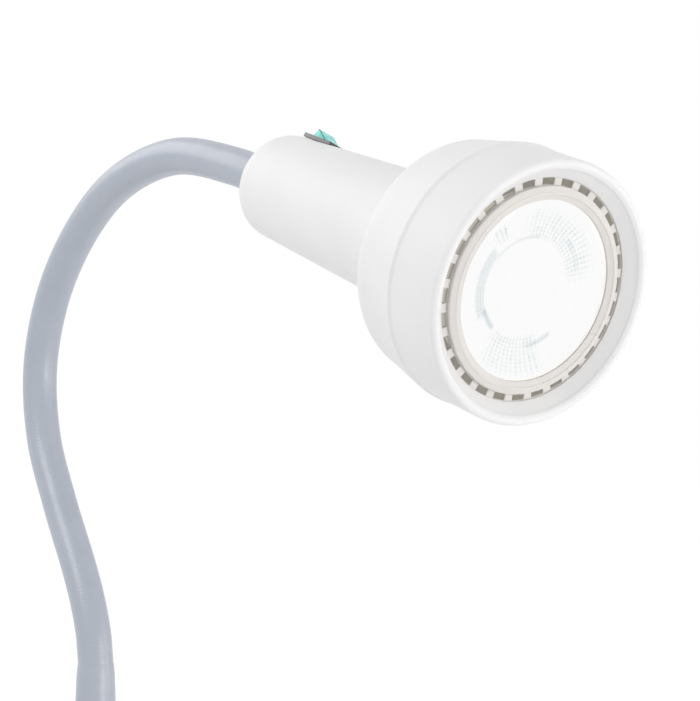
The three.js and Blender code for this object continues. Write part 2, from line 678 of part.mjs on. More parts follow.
/** A wire through a row of points. */
function wire(points, steps) {
  const curve = new THREE.CatmullRomCurve3(points.map((point) => new THREE.Vector3(...point)));
  return swept(curve, LEAD_R, 8, steps);
}

/** The wire between the switch and the lampholder, and the one from the arm to the switch. */
function leads() {
  const tabX = SWITCH_SEAT_X - SWITCH_DEPTH - TERMINAL - LEAD_R - GAP;
  const [frontTab, rearTab] = [-SWITCH_AT + TERMINAL_AT, -SWITCH_AT - TERMINAL_AT];
  const end = -HOLDER_REAR - LEAD_R - 0.1;
  const run = (share) => frontTab + (end - frontTab) * share;
  const toHolder = wire(
    [[tabX, 0, frontTab], [2, 3, run(0.15)], [-2, 6, run(0.53)], [0, 5, run(0.85)], [0, 0, end]], 12);
  const toSwitch = wire(
    [[0, 0, -HEAD_LENGTH + 14], [1.5, 1.5, rearTab - 4], [tabX, 0, rearTab]], 6);
  return [toHolder, toSwitch];
}

/** The fitting that ends the arm: a thread through the housing's back wall, a collar and a socket. */
function headFerrule() {
  const back = -HEAD_LENGTH - GAP;
  const joint = -HEAD_LENGTH - LAST_JOINT;
  const thread = rod(ARM_HOLE_R - GAP, back - 4, -HEAD_LENGTH + 12.5, 20);
  const collar = rod(ARM_R + 0.6, back - 6, back, 32);
  const core = rod(CONDUIT_R, joint - SOCKET_LIP, back - 5, ARM_SIDES);
  const cover = rod(ARM_R - 0.4, joint + SHEATH_SETBACK, back - 5, ARM_SIDES);
  return thread.add(collar).add(core).add(cover)
    .subtract(ball(SOCKET_R, [0, 0, joint]))
    .subtract(rod(CABLE_BORE_R, joint, -HEAD_LENGTH + 13, 12));
}

/** The nut and washer that hold the arm's fitting inside the housing. */
function ferruleNut() {
  const low = -HEAD_LENGTH + WALL + 2 * GAP + 1.2;
  const hexagon = plate(polygon(12, 6), 5.5, new THREE.Matrix4().makeTranslation(0, 0, low));
  return hexagon.subtract(rod(ARM_HOLE_R, low - 1, low + 7, 20));
}

function ferruleWasher() {
  const low = -HEAD_LENGTH + WALL + GAP;
  return turned([[ARM_HOLE_R, low], [13, low], [13, low + 1.2], [ARM_HOLE_R, low + 1.2]], 24);
}

function buildHead() {
  const head = new THREE.Group();
  const light = new THREE.Vector3(Math.cos(TILT), 0, -Math.sin(TILT));
  const above = new THREE.Vector3(Math.sin(TILT), 0, Math.cos(TILT));
  const aside = new THREE.Vector3(0, 1, 0);
  const switchSide = above.multiplyScalar(Math.cos(ROLL)).add(aside.multiplyScalar(Math.sin(ROLL)));
  const across = new THREE.Vector3().crossVectors(light, switchSide);
  head.applyMatrix4(new THREE.Matrix4().makeBasis(switchSide, across, light));
  head.position.set(HEAD_BACK[0], 0, HEAD_BACK[1]).addScaledVector(light, HEAD_LENGTH);

  const [upper, lower] = housingHalves();
  piece(head, 'front_shroud', frontShroud(), MATERIALS.housing);
  piece(head, 'vent_ring', ventRing(), MATERIALS.trim);
  piece(head, 'housing_upper', upper, MATERIALS.housing);
  piece(head, 'housing_lower', lower, MATERIALS.housing);
  SCREW_PLACES.forEach((place, i) => {
    piece(head, `housing_screw_${i + 1}`, housingScrew(place), MATERIALS.steel);
  });

  piece(head, 'lamp_rim', lampRim(), MATERIALS.trim);
  piece(head, 'lamp_lens', lampLens(), MATERIALS.lens);
  piece(head, 'lamp_reflector', lampReflector(), MATERIALS.mirror);
  piece(head, 'led_module', ledModule(), MATERIALS.led);
  piece(head, 'lamp_body', lampBody(), MATERIALS.trim);
  piece(head, 'driver_board', driverBoard(), MATERIALS.board);
  piece(head, 'cap_core', capCore(), MATERIALS.dark);
  piece(head, 'screw_cap', screwCap(), MATERIALS.brass);
  piece(head, 'end_contact', rod(4.4, TIP_Z - CONTACT, TIP_Z - GAP, 16), MATERIALS.brass);
  piece(head, 'lampholder', lampholder(), MATERIALS.ceramic);
  piece(head, 'holder_sleeve', holderSleeve(), MATERIALS.brass);
  piece(head, 'centre_contact', centreContact(), MATERIALS.brass);

  piece(head, 'switch_housing', switchHousing(), MATERIALS.dark);
  piece(head, 'rocker', rocker(), MATERIALS.rocker);
  piece(head, 'switch_terminal_front', switchTerminal(1), MATERIALS.brass);
  piece(head, 'switch_terminal_rear', switchTerminal(-1), MATERIALS.brass);
  const [holderLead, switchLead] = leads();
  piece(head, 'holder_lead', holderLead, MATERIALS.wire);
  piece(head, 'switch_lead', switchLead, MATERIALS.wire);

  piece(head, 'head_ferrule', headFerrule(), MATERIALS.steel);
  piece(head, 'ferrule_washer', ferruleWasher(), MATERIALS.steel);
  piece(head, 'ferrule_nut', ferruleNut(), MATERIALS.steel);
  return head;
}

// ---------------------------------------------------------------- flexible arm

const ARM_PATH = new THREE.CatmullRomCurve3(
  ARM_POINTS.map(([x, z]) => new THREE.Vector3(x, 0, z)), false, 'centripetal');
ARM_PATH.arcLengthDivisions = 800;
const ARM_LENGTH = ARM_PATH.getLength();
const LINK_LENGTH = (ARM_LENGTH - FIRST_JOINT - LAST_JOINT) / LINKS;

/** A stretch of the arm's centre line, between two distances from its foot. */
class ArmStretch extends THREE.Curve {
  constructor(from, to) {
    super();
    this.from = from;
    this.to = to;
  }

  getPoint(t, target = new THREE.Vector3()) {
    return ARM_PATH.getPointAt((this.from + (this.to - this.from) * t) / ARM_LENGTH, target);
  }
}

/** The point of the arm's centre line at a distance from its foot. */
function armPoint(distance) {
  return ARM_PATH.getPointAt(distance / ARM_LENGTH).toArray();
}

/** One length of the steel conduit, with a socket at its foot and a ball at its top. */
function conduit(from, to) {
  const body = swept(new ArmStretch(from - SOCKET_LIP, to - BALL_NECK_LENGTH), CONDUIT_R, ARM_SIDES, 4);
  const neck = swept(new ArmStretch(to - BALL_NECK_LENGTH - 1, to), BALL_NECK_R, ARM_SIDES, 1);
  const bore = swept(new ArmStretch(from - BALL_R, to + BALL_R + 1), CABLE_BORE_R, 6, 5);
  return body.subtract(ball(SOCKET_R, armPoint(from))).add(neck).add(ball(BALL_R, armPoint(to)))
    .subtract(bore);
}

/** One length of the soft sheath over the conduit. */
function sheath(from, to) {
  const stretch = new ArmStretch(from + SHEATH_SETBACK, to - SHEATH_SETBACK);
  const outside = swept(stretch, ARM_R, ARM_SIDES, 4);
  const longer = new ArmStretch(from + SHEATH_SETBACK - 1, to - SHEATH_SETBACK + 1);
  return outside.subtract(swept(longer, ARM_R - ARM_WALL, ARM_SIDES, 4));
}

function buildArm() {
  const arm = new THREE.Group();
  for (let i = 0; i < LINKS; i += 1) {
    const from = FIRST_JOINT + i * LINK_LENGTH;
    piece(arm, `conduit_${i + 1}`, conduit(from, from + LINK_LENGTH), MATERIALS.steel);
    piece(arm, `sheath_${i + 1}`, sheath(from, from + LINK_LENGTH), MATERIALS.sheath);
  }
  return arm;
}

// ---------------------------------------------------------------- column

/** The soft sleeve at the foot of the arm. */
function footSleeve() {
  const shoulder = ARM_FOOT_Z - FERRULE_SHOULDER;
  const step = SPIGOT_TOP_Z - FERRULE_OVERLAP - GAP;
  const [neckR, bodyR, tubeR] = [CONDUIT_R + GAP, FERRULE_R + GAP, SPIGOT_R + GAP];
  return turned([
    [tubeR, SLEEVE_BOTTOM_Z], [SLEEVE_BOTTOM_R - 1, SLEEVE_BOTTOM_Z],
    [SLEEVE_BOTTOM_R, SLEEVE_BOTTOM_Z + 1], [SLEEVE_TOP_R, ARM_FOOT_Z - 1.2],
    [SLEEVE_TOP_R - 0.7, ARM_FOOT_Z], [neckR, ARM_FOOT_Z], [neckR, shoulder + 2],
    [bodyR, shoulder], [bodyR, step], [tubeR, step],
  ], 24);
}

/** The fitting that joins the arm to the spigot, with the arm's first ball. */
function footFerrule() {
  const bottom = SPIGOT_TOP_Z - FERRULE_OVERLAP;
  const shoulder = ARM_FOOT_Z - FERRULE_SHOULDER;
  const body = rod(FERRULE_R, bottom, shoulder - 2 * GAP, 24);
  const stem = rod(CONDUIT_R, shoulder - 1, ARM_FOOT_Z, ARM_SIDES);
  const top = swept(new ArmStretch(0, FIRST_JOINT - BALL_NECK_LENGTH), CONDUIT_R, ARM_SIDES, 1);
  const neck = swept(new ArmStretch(1, FIRST_JOINT), BALL_NECK_R, ARM_SIDES, 1);
  const bore = swept(new ArmStretch(0, FIRST_JOINT + BALL_R + 1), CABLE_BORE_R, 8, 2);
  return body.add(stem).add(top).add(neck).add(ball(BALL_R, armPoint(FIRST_JOINT)))
    .subtract(bore)
    .subtract(rod(CABLE_BORE_R, bottom - 1, ARM_FOOT_Z + 1, 12))
    .subtract(rod(SPIGOT_R + GAP, bottom - 1, SPIGOT_TOP_Z + GAP, 24));
}

/** The tube that turns in the clamp, with a groove for the locking screw. */
function spigot() {
  const grooveR = SPIGOT_R - LOCK_GROOVE;
  const [low, high] = [LOCK_Z - LOCK_GROOVE_HALF, LOCK_Z + LOCK_GROOVE_HALF];
  return turned([
    [SPIGOT_BORE_R, SPIGOT_BOTTOM_Z], [SPIGOT_R - 0.8, SPIGOT_BOTTOM_Z], [SPIGOT_R, SPIGOT_BOTTOM_Z + 0.8],
    [SPIGOT_R, low], [grooveR, low + 0.4], [grooveR, high - 0.4], [SPIGOT_R, high],
    [SPIGOT_R, SPIGOT_TOP_Z], [SPIGOT_BORE_R, SPIGOT_TOP_Z],
  ]);
}

function buildColumn() {
  const column = new THREE.Group();
  piece(column, 'foot_sleeve', footSleeve(), MATERIALS.sheath);
  piece(column, 'foot_ferrule', footFerrule(), MATERIALS.steel);
  piece(column, 'spigot', spigot(), MATERIALS.steel);
  return column;
}

// ---------------------------------------------------------------- table clamp

/** The cast C-shaped body, with the boss that the spigot turns in. */
function clampBody() {
  const [top, under] = [JAW_TOP_Z, JAW_PAD + GAP];
  const [inner, bottom] = [SPINE_BACK_X + SPINE, -CLAMP_DEPTH];
  const shelf = bottom + SPINE;
  const lowerFront = SPINDLE_X + 13;
  const outline = [
    [inner + 4, under], [JAW_FRONT_X, under], [JAW_FRONT_X, top - 5], [JAW_FRONT_X - 5, top],
    [SPINE_BACK_X + 7, top], [SPINE_BACK_X + 2, top - 2], [SPINE_BACK_X, top - 7],
    [SPINE_BACK_X, bottom + 7], [SPINE_BACK_X + 2, bottom + 2], [SPINE_BACK_X + 7, bottom],
    [lowerFront - 4, bottom], [lowerFront, bottom + 4], [lowerFront, shelf], [inner + 4, shelf],
    [inner, shelf + 4], [inner, under - 4],
  ];
  const upright = new THREE.Matrix4().makeBasis(
    new THREE.Vector3(1, 0, 0), new THREE.Vector3(0, 0, 1), new THREE.Vector3(0, -1, 0));
  upright.premultiply(new THREE.Matrix4().makeTranslation(0, CLAMP_WIDTH / 2, 0));
  const frame = plate(outline, CLAMP_WIDTH, upright);
  const boss = rod(COLUMN_BOSS_R, top - 1, BOSS_TOP_Z - 2, 32)
    .add(rod(COLUMN_BOSS_R, BOSS_TOP_Z - 2.01, BOSS_TOP_Z, 32, COLUMN_BOSS_R - 2));
  const lockHole = moved(rod(LOCK_R + GAP, 0, COLUMN_BOSS_R + 1, 12), along([0, -1, 0], [0, 0, LOCK_Z]));
  const cableHole = moved(rod(GLAND_R + GAP, 0, -SPINE_BACK_X + 1, 12), along([-1, 0, 0], [0, 0, GLAND_Z]));
  return frame.add(boss)
    .subtract(rod(SPIGOT_R + GAP, SPIGOT_BOTTOM_Z - GAP, BOSS_TOP_Z + 1, 24))
    .subtract(rod(SPIGOT_BORE_R, GLAND_Z - 1, SPIGOT_BOTTOM_Z + 1, 16))
    .subtract(lockHole)
    .subtract(cableHole)
    .subtract(rod(SPINDLE_R + GAP, bottom - 1, shelf + 1, 20).translate(SPINDLE_X, 0, 0));
}

/** The rubber pad on the upper jaw. */
function jawPad() {
  const half = CLAMP_WIDTH / 2 - 1;
  const back = SPINE_BACK_X + SPINE + 5;
  return block([back, -half, 0], [JAW_FRONT_X - 1, half, JAW_PAD]);
}

/** The swivelling pad on top of the spindle, with a socket for the spindle's tip. */
function pressurePad() {
  const [top, bottom] = [-JAW_GAP, -JAW_GAP - PAD_THICKNESS];
  const tip = SPINDLE_TIP_R + GAP;
  const solid = turned([
    [0, top], [PAD_R - 1, top], [PAD_R, top - 1], [PAD_R, top - 3], [SPINDLE_R + 2, bottom],
    [tip, bottom], [tip, top - PAD_FACE], [0, top - PAD_FACE],
  ]);
  return moved(solid, along([0, 0, 1], [SPINDLE_X, 0, 0]));
}

/** The threaded spindle, with a plain tip and a head for the bar. */
function spindle() {
  const top = -JAW_GAP - PAD_FACE - GAP;
  const shoulder = -JAW_GAP - PAD_THICKNESS - GAP;
  const head = SPINDLE_R + 2.5;
  const solid = turned([
    [0, top], [SPINDLE_TIP_R, top], [SPINDLE_TIP_R, shoulder], [SPINDLE_R, shoulder],
    [SPINDLE_R, BAR_Z + 8], [head, BAR_Z + 6], [head, SPINDLE_END_Z + 1], [head - 1, SPINDLE_END_Z],
    [0, SPINDLE_END_Z],
  ]);
  const hole = moved(rod(BAR_R + GAP, -head - 1, head + 1, 12), along([0, 1, 0], [0, 0, BAR_Z]));
  return moved(solid.subtract(hole), along([0, 0, 1], [SPINDLE_X, 0, 0]));
}

/** The sliding bar that turns the spindle, and the cap on each of its ends. */
function tommyBar() {
  const bar = rod(BAR_R, -BAR_LENGTH / 2, BAR_LENGTH / 2, 12);
  return moved(bar, along([0, 1, 0], [SPINDLE_X, 0, BAR_Z]));
}

function barCap(side) {
  const end = BAR_LENGTH / 2;
  const cap = turned([
    [0, end + GAP], [BAR_R + GAP, end + GAP], [BAR_R + GAP, end - 4], [BAR_R + 1.6, end - 4],
    [BAR_R + 2, end - 2], [BAR_R + 1.4, end + 2], [0, end + 2.4],
  ], 16);
  return moved(cap, along([0, side, 0], [SPINDLE_X, 0, BAR_Z]));
}

/** The screw that locks the spigot, with a fluted knob. */
function lockingScrew() {
  const tip = SPIGOT_R - LOCK_GROOVE + GAP;
  const knobStart = COLUMN_BOSS_R + 1.5;
  let knob = rod(LOCK_KNOB_R, knobStart, knobStart + LOCK_KNOB, 24);
  for (let i = 0; i < 8; i += 1) {
    const angle = (2 * Math.PI * i) / 8;
    const flute = rod(2.2, knobStart - 1, knobStart + LOCK_KNOB + 1, 8);
    const place = [(LOCK_KNOB_R + 1) * Math.cos(angle), (LOCK_KNOB_R + 1) * Math.sin(angle), 0];
    knob = knob.subtract(moved(flute, along([0, 0, 1], place)));
  }
  return moved(knob.add(rod(LOCK_R, tip, knobStart + 1, 12)), along([0, -1, 0], [0, 0, LOCK_Z]));
}

/** The bush that the supply cable would leave through. */
function cableGland() {
  const face = -SPINE_BACK_X + GAP;
  const end = face - GLAND_LENGTH;
  const bush = turned([
    [GLAND_BORE_R, end], [GLAND_R, end], [GLAND_R, face], [GLAND_R + 2.6, face],
    [GLAND_R + 2, face + 2.5], [GLAND_BORE_R, face + 2.5],
  ], 20);
  return moved(bush, along([-1, 0, 0], [0, 0, GLAND_Z]));
}

function buildClamp() {
  const clamp = new THREE.Group();
  piece(clamp, 'clamp_body', clampBody(), MATERIALS.enamel);
  piece(clamp, 'jaw_pad', jawPad(), MATERIALS.rubber);
  piece(clamp, 'pressure_pad', pressurePad(), MATERIALS.steel);
  piece(clamp, 'spindle', spindle(), MATERIALS.steel);
  piece(clamp, 'tommy_bar', tommyBar(), MATERIALS.steel);
  piece(clamp, 'bar_cap_left', barCap(1), MATERIALS.rubber);
  piece(clamp, 'bar_cap_right', barCap(-1), MATERIALS.rubber);
  piece(clamp, 'locking_screw', lockingScrew(), MATERIALS.dark);
  piece(clamp, 'cable_gland', cableGland(), MATERIALS.rubber);
  return clamp;
}

// ---------------------------------------------------------------- assembly

const group = new THREE.Group();
group.add(buildHead(), buildArm(), buildColumn(), buildClamp());

export default group;
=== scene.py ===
"""Looks of the examination lamp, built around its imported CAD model."""

import json
import math

import bmesh
import bpy
import numpy as np
from mathutils import Matrix, Vector


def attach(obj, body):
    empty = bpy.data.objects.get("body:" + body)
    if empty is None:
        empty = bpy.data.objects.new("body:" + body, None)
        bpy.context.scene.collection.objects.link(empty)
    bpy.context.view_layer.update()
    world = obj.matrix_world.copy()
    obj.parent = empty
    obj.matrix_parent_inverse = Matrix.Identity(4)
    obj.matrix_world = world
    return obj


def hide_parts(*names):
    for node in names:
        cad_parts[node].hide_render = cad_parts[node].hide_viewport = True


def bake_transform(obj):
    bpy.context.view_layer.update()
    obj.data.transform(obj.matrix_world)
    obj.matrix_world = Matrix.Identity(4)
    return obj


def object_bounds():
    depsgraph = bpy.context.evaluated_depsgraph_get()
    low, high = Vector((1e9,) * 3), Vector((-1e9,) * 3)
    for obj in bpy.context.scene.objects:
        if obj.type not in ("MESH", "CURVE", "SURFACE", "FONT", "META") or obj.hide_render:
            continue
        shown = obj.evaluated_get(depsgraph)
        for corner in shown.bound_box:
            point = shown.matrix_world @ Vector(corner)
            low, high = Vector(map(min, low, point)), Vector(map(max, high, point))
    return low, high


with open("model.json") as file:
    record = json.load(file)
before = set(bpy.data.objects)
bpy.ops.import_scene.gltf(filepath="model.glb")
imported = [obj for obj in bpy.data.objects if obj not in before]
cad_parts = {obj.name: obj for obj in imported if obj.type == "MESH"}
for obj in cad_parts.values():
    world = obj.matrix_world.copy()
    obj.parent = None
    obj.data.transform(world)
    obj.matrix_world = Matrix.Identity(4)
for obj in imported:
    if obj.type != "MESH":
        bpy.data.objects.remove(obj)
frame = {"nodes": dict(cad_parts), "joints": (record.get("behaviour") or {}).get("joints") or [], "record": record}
CAD_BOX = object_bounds()
JOINTS = {joint["name"]: joint for joint in frame["joints"]}
MM = Matrix.Scale(0.001, 4)  # sizes below are in millimetres

# ---------------------------------------------------------------- camera

LONG_SIDE = 701  # of the image, in pixels
FOCAL = 2140  # in pixels
SENSOR = 36
CAMERA_PLACE = (1.1008, -0.6380, 0.2366)
CAMERA_VIEW = (-0.79934, 0.59860, 0.05234)


def make_camera():
    """The camera that sees the lamp as in the reference view."""
    data = bpy.data.cameras.new("camera")
    data.sensor_width = SENSOR
    data.lens = FOCAL / LONG_SIDE * SENSOR
    data.clip_start, data.clip_end = 0.05, 50
    camera = bpy.data.objects.new("camera", data)
    bpy.context.scene.collection.objects.link(camera)
    camera.location = CAMERA_PLACE
    camera.rotation_mode = "QUATERNION"
    camera.rotation_quaternion = Vector(CAMERA_VIEW).to_track_quat("-Z", "Y")
    bpy.context.scene.camera = camera


# ---------------------------------------------------------------- frames of reference


def places(node):
    """The corners of a CAD node, each once."""
    corners = np.array([v.co[:] for v in frame["nodes"][node].data.vertices])
    return np.unique(np.round(corners, 6), axis=0)


def head_frame():
    """The head's own frame: origin at the centre of the rim, +Z along the light, +X towards the switch."""
    shroud = places("front_shroud")
    middle = shroud.mean(0)
    light = Vector(middle - places("lampholder").mean(0)).normalized()
    across = Vector(JOINTS["rocker_toggle"]["axis"]).normalized()
    side = across.cross(light).normalized()
    reach = max((shroud - middle) @ np.array(light))
    rim = Vector(middle) + light * float(reach)
    axes = Matrix((side, light.cross(side), light)).transposed().to_4x4()
    return Matrix.Translation(rim) @ axes @ MM


HEAD = head_frame()
WORLD = MM

# ---------------------------------------------------------------- mesh helpers


def place(mesh, matrix, sharp=32):
    """Move a mesh to its place and shade it smooth."""
    mesh.transform(matrix)
    smooth(mesh, sharp)
    return mesh


def smooth(mesh, sharp):
    """Smooth shading, with an edge kept sharp above an angle in degrees."""
    for polygon in mesh.polygons:
        polygon.use_smooth = True
    mesh.set_sharp_from_angle(angle=math.radians(sharp))


def new_object(name, shape, matrix=None, sharp=32):
    """A bmesh, in millimetres, as an object. The matrix takes it to the lamp's own frame, in metres."""
    bmesh.ops.recalc_face_normals(shape, faces=shape.faces)
    mesh = bpy.data.meshes.new(name)
    shape.to_mesh(mesh)
    shape.free()
    obj = bpy.data.objects.new(name, place(mesh, matrix or WORLD, sharp))
    bpy.context.scene.collection.objects.link(obj)
    return obj


def rounded(profile, steps=4, closed=True):
    """A profile of [r, z] or [r, z, fillet] points, with each fillet as an arc."""
    out = []
    count = len(profile)
    for i, point in enumerate(profile):
        here = np.array(point[:2], float)
        radius = point[2] if len(point) > 2 else 0
        if not radius or (not closed and i in (0, count - 1)):
            out.append(tuple(here))
            continue
        back = np.array(profile[i - 1][:2], float) - here
        on = np.array(profile[(i + 1) % count][:2], float) - here
        back, on = back / np.linalg.norm(back), on / np.linalg.norm(on)
        half = math.acos(max(-1, min(1, float(back @ on)))) / 2
        middle = (back + on) / np.linalg.norm(back + on)
        centre = here + middle * radius / math.sin(half)
        first = here + back * radius / math.tan(half) - centre
        last = here + on * radius / math.tan(half) - centre
        start = math.atan2(first[1], first[0])
        turn = (math.atan2(last[1], last[0]) - start + math.pi) % (2 * math.pi) - math.pi
        for k in range(steps + 1):
            angle = start + turn * k / steps
            out.append((centre[0] + radius * math.cos(angle), centre[1] + radius * math.sin(angle)))
    return out


def arc(r, z, radius, start, stop, steps):
    """Points on an arc about [r, z], between two angles in degrees."""
    angles = [math.radians(start + (stop - start) * i / steps) for i in range(steps + 1)]
    return [(r + radius * math.cos(a), z + radius * math.sin(a)) for a in angles]


def revolve(profile, segments=120, sweep=None, wave=None):
    """A profile turned about Z, the whole way or through a sweep in degrees, as a closed body.
    wave changes the radius: it takes the radius, the height and the angle."""
    shape = bmesh.new()
    start, stop = sweep or (0, 360)
    turns = segments if sweep is None else segments + 1
    rings, poles = [], {}
    for i in range(turns):
        angle = math.radians(start + (stop - start) * i / segments)
        ring = []
        for j, (r, z) in enumerate(profile):
            if r < 1e-6:
                if j not in poles:
                    poles[j] = shape.verts.new((0, 0, z))
                ring.append(poles[j])
                continue
            radius = wave(r, z, angle) if wave else r
            ring.append(shape.verts.new((radius * math.cos(angle), radius * math.sin(angle), z)))
        rings.append(ring)
    count = len(profile)
    for i in range(segments):
        a, b = rings[i], rings[(i + 1) % turns]
        for j in range(count):
            k = (j + 1) % count
            corners = list(dict.fromkeys((a[j], a[k], b[k], b[j])))
            if len(corners) > 2:
                shape.faces.new(corners)
    if sweep is not None:
        shape.faces.new(rings[0])
        shape.faces.new(reversed(rings[-1]))
    return shape


def cylinder(radius, low, high, segments=48, fillet=0.0):
    """A cylinder about Z, with rounded edges if it has a fillet."""
    return revolve(rounded([(0, low), (radius, low, fillet), (radius, high, fillet), (0, high)],
                           closed=False), segments)


def cuboid(low, high):
    """A box between two opposite corners."""
    shape = bmesh.new()
    bmesh.ops.create_cube(shape, size=1)
    size = [h - l for l, h in zip(low, high)]
    middle = [(h + l) / 2 for l, h in zip(low, high)]
    bmesh.ops.transform(shape, verts=shape.verts,
                        matrix=Matrix.Translation(middle) @ Matrix.Diagonal(size + [1]))
    return shape


def prism(outline, low, high):
    """An outline of [x, y] points, thickened along Z from low to high."""
    shape = bmesh.new()
    rings = [[shape.verts.new((x, y, z)) for x, y in outline] for z in (low, high)]
    shape.faces.new(rings[0])
    shape.faces.new(rings[1])
    for i in range(len(outline)):
        k = (i + 1) % len(outline)
        shape.faces.new((rings[0][i], rings[0][k], rings[1][k], rings[1][i]))
    return shape


# Lays an outline of [x, y] points upright, with its y along Z and its thickness along Y.
UPRIGHT = Matrix(((1, 0, 0, 0), (0, 0, 1, 0), (0, 1, 0, 0), (0, 0, 0, 1)))


def turned_to(shape, matrix):
    """Move a bmesh by a matrix."""
    bmesh.ops.transform(shape, verts=shape.verts, matrix=matrix)
    return shape


def applied(obj, sharp=32):
    """Apply the object's modifiers to its mesh."""
    graph = bpy.context.evaluated_depsgraph_get()
    mesh = bpy.data.meshes.new_from_object(obj.evaluated_get(graph))
    obj.modifiers.clear()
    obj.data = mesh
    smooth(mesh, sharp)
    return obj


def combine(obj, other, operation):
    """Join another object to this one, or cut it away, and remove it."""
    modifier = obj.modifiers.new("combine", "BOOLEAN")
    modifier.solver = "EXACT"
    modifier.operation = operation
    modifier.object = other
    applied(obj)
    bpy.data.objects.remove(other)
    return obj


def cut(obj, shape, matrix=None):
    """Cut a shape out of an object."""
    return combine(obj, new_object("tool", shape, matrix), "DIFFERENCE")


def join(obj, shape, matrix=None):
    """Add a shape to an object."""
    return combine(obj, new_object("tool", shape, matrix), "UNION")


def softened(obj, width, angle=40, segments=2):
    """Round the object's edges, in millimetres."""
    modifier = obj.modifiers.new("edges", "BEVEL")
    modifier.width = width / 1000
    modifier.segments = segments
    modifier.limit_method = "ANGLE"
    modifier.angle_limit = math.radians(angle)
    modifier.harden_normals = False
    return applied(obj, 45)


# ---------------------------------------------------------------- materials


def principled(name, colour, roughness, **sockets):
    """A material of one colour and gloss. Further sockets are named with _ for a space."""
    material = bpy.data.materials.new(name)
    material.use_nodes = True
    shader = material.node_tree.nodes["Principled BSDF"]
    shader.inputs["Base Color"].default_value = (*colour, 1)
    shader.inputs["Roughness"].default_value = roughness
    for socket, value in sockets.items():
        shader.inputs[socket.replace("_", " ")].default_value = value
    return material


def noise(material, scale, detail=3, stretch=(1, 1, 1)):
    """Noise in the piece's own space, at so many cells to the metre."""
    tree = material.node_tree
    coordinates = tree.nodes.new("ShaderNodeTexCoord")
    mapping = tree.nodes.new("ShaderNodeMapping")
    mapping.inputs["Scale"].default_value = stretch
    texture = tree.nodes.new("ShaderNodeTexNoise")
    texture.inputs["Scale"].default_value = scale
    texture.inputs["Detail"].default_value = detail
    tree.links.new(coordinates.outputs["Object"], mapping.inputs["Vector"])
    tree.links.new(mapping.outputs["Vector"], texture.inputs["Vector"])
    return texture.outputs["Fac"]


def spread(material, value, low, high, start=0.3, stop=0.7):
    """A value mapped to a range of numbers."""
    node = material.node_tree.nodes.new("ShaderNodeMapRange")
    for socket, number in (("From Min", start), ("From Max", stop), ("To Min", low), ("To Max", high)):
        node.inputs[socket].default_value = number
    material.node_tree.links.new(value, node.inputs["Value"])
    return node.outputs["Result"]


def blend_colours(material, factor, first, second):
    """A mix of two colours. The first is either a colour or the output of a node."""
    node = material.node_tree.nodes.new("ShaderNodeMix")
    node.data_type = "RGBA"
    if isinstance(first, bpy.types.NodeSocket):
        material.node_tree.links.new(first, node.inputs["A"])
    else:
        node.inputs["A"].default_value = (*first, 1)
    node.inputs["B"].default_value = (*second, 1)
    material.node_tree.links.new(factor, node.inputs["Factor"])
    return node.outputs["Result"]


def link(material, output, socket):
    """Feed a socket of the material's shader."""
    shader = material.node_tree.nodes["Principled BSDF"]
    material.node_tree.links.new(output, shader.inputs[socket])


def grain(material, height, strength, depth):
    """Relief from a height, with its depth in millimetres."""
    node = material.node_tree.nodes.new("ShaderNodeBump")
    node.inputs["Strength"].default_value = strength
    node.inputs["Distance"].default_value = depth / 1000
    material.node_tree.links.new(height, node.inputs["Height"])
    link(material, node.outputs["Normal"], "Normal")


def surface(name, colour, shade, roughness, cells, depth, patch=35, strength=0.4, stretch=(1, 1, 1),
            **sockets):
    """A finish with patches of a second shade, uneven gloss and a fine grain."""
    material = principled(name, colour, roughness, **sockets)
    patches = spread(material, noise(material, patch, 4), 0, 1)
    link(material, blend_colours(material, patches, colour, shade), "Base Color")
    gloss = spread(material, noise(material, patch * 6, 4), roughness - 0.05, roughness + 0.07)
    link(material, gloss, "Roughness")
    grain(material, noise(material, cells, 2, stretch), strength, depth)
    return material


LOOKS = {
    "housing_plastic": surface("housing", (0.85, 0.85, 0.855), (0.825, 0.825, 0.833), 0.5, 1900, 0.03),
    "lamp_trim": surface("lamp_trim", (0.745, 0.72, 0.695), (0.72, 0.695, 0.67), 0.4, 1500, 0.02),
    # Painted light: lamp_metal glows warm, in place of the lamp's own light that falls on it behind the vents.
    "lamp_metal": surface("lamp_metal", (0.8, 0.78, 0.74), (0.74, 0.72, 0.68), 0.4, 900, 0.03,
                          Emission_Color=(0.62, 0.58, 0.5, 1), Emission_Strength=0.48),
    "dark_plastic": surface("dark_plastic", (0.045, 0.047, 0.05), (0.06, 0.062, 0.066), 0.45, 1600, 0.04),
    "brass": surface("brass", (0.72, 0.52, 0.2), (0.6, 0.42, 0.16), 0.3, 600, 0.02, Metallic=1),
    "steel": surface("steel", (0.6, 0.6, 0.61), (0.5, 0.5, 0.51), 0.3, 500, 0.02,
                     stretch=(1, 1, 12), Metallic=1),
    "ceramic": surface("ceramic", (0.83, 0.8, 0.74), (0.78, 0.75, 0.69), 0.25, 700, 0.02),
    "board": surface("board", (0.03, 0.16, 0.07), (0.04, 0.2, 0.09), 0.45, 900, 0.03, patch=200),
    "wire": surface("wire", (0.12, 0.05, 0.02), (0.16, 0.07, 0.03), 0.45, 800, 0.02),
    "rubber": surface("rubber", (0.02, 0.02, 0.021), (0.03, 0.03, 0.031), 0.75, 900, 0.06),
    "arm_sheath": surface("arm_sheath", (0.405, 0.44, 0.505), (0.38, 0.415, 0.48), 0.33, 1500, 0.02,
                          Specular_IOR_Level=0.9),
    "enamel": surface("enamel", (0.62, 0.64, 0.67), (0.58, 0.6, 0.63), 0.32, 260, 0.09, strength=0.25,
                      Coat_Weight=0.3, Coat_Roughness=0.15),
}


def shade_layer(material):
    """The piece's own layer that says where it is darker."""
    layer = material.node_tree.nodes.new("ShaderNodeAttribute")
    layer.attribute_name = "shade"
    return layer.outputs["Fac"]


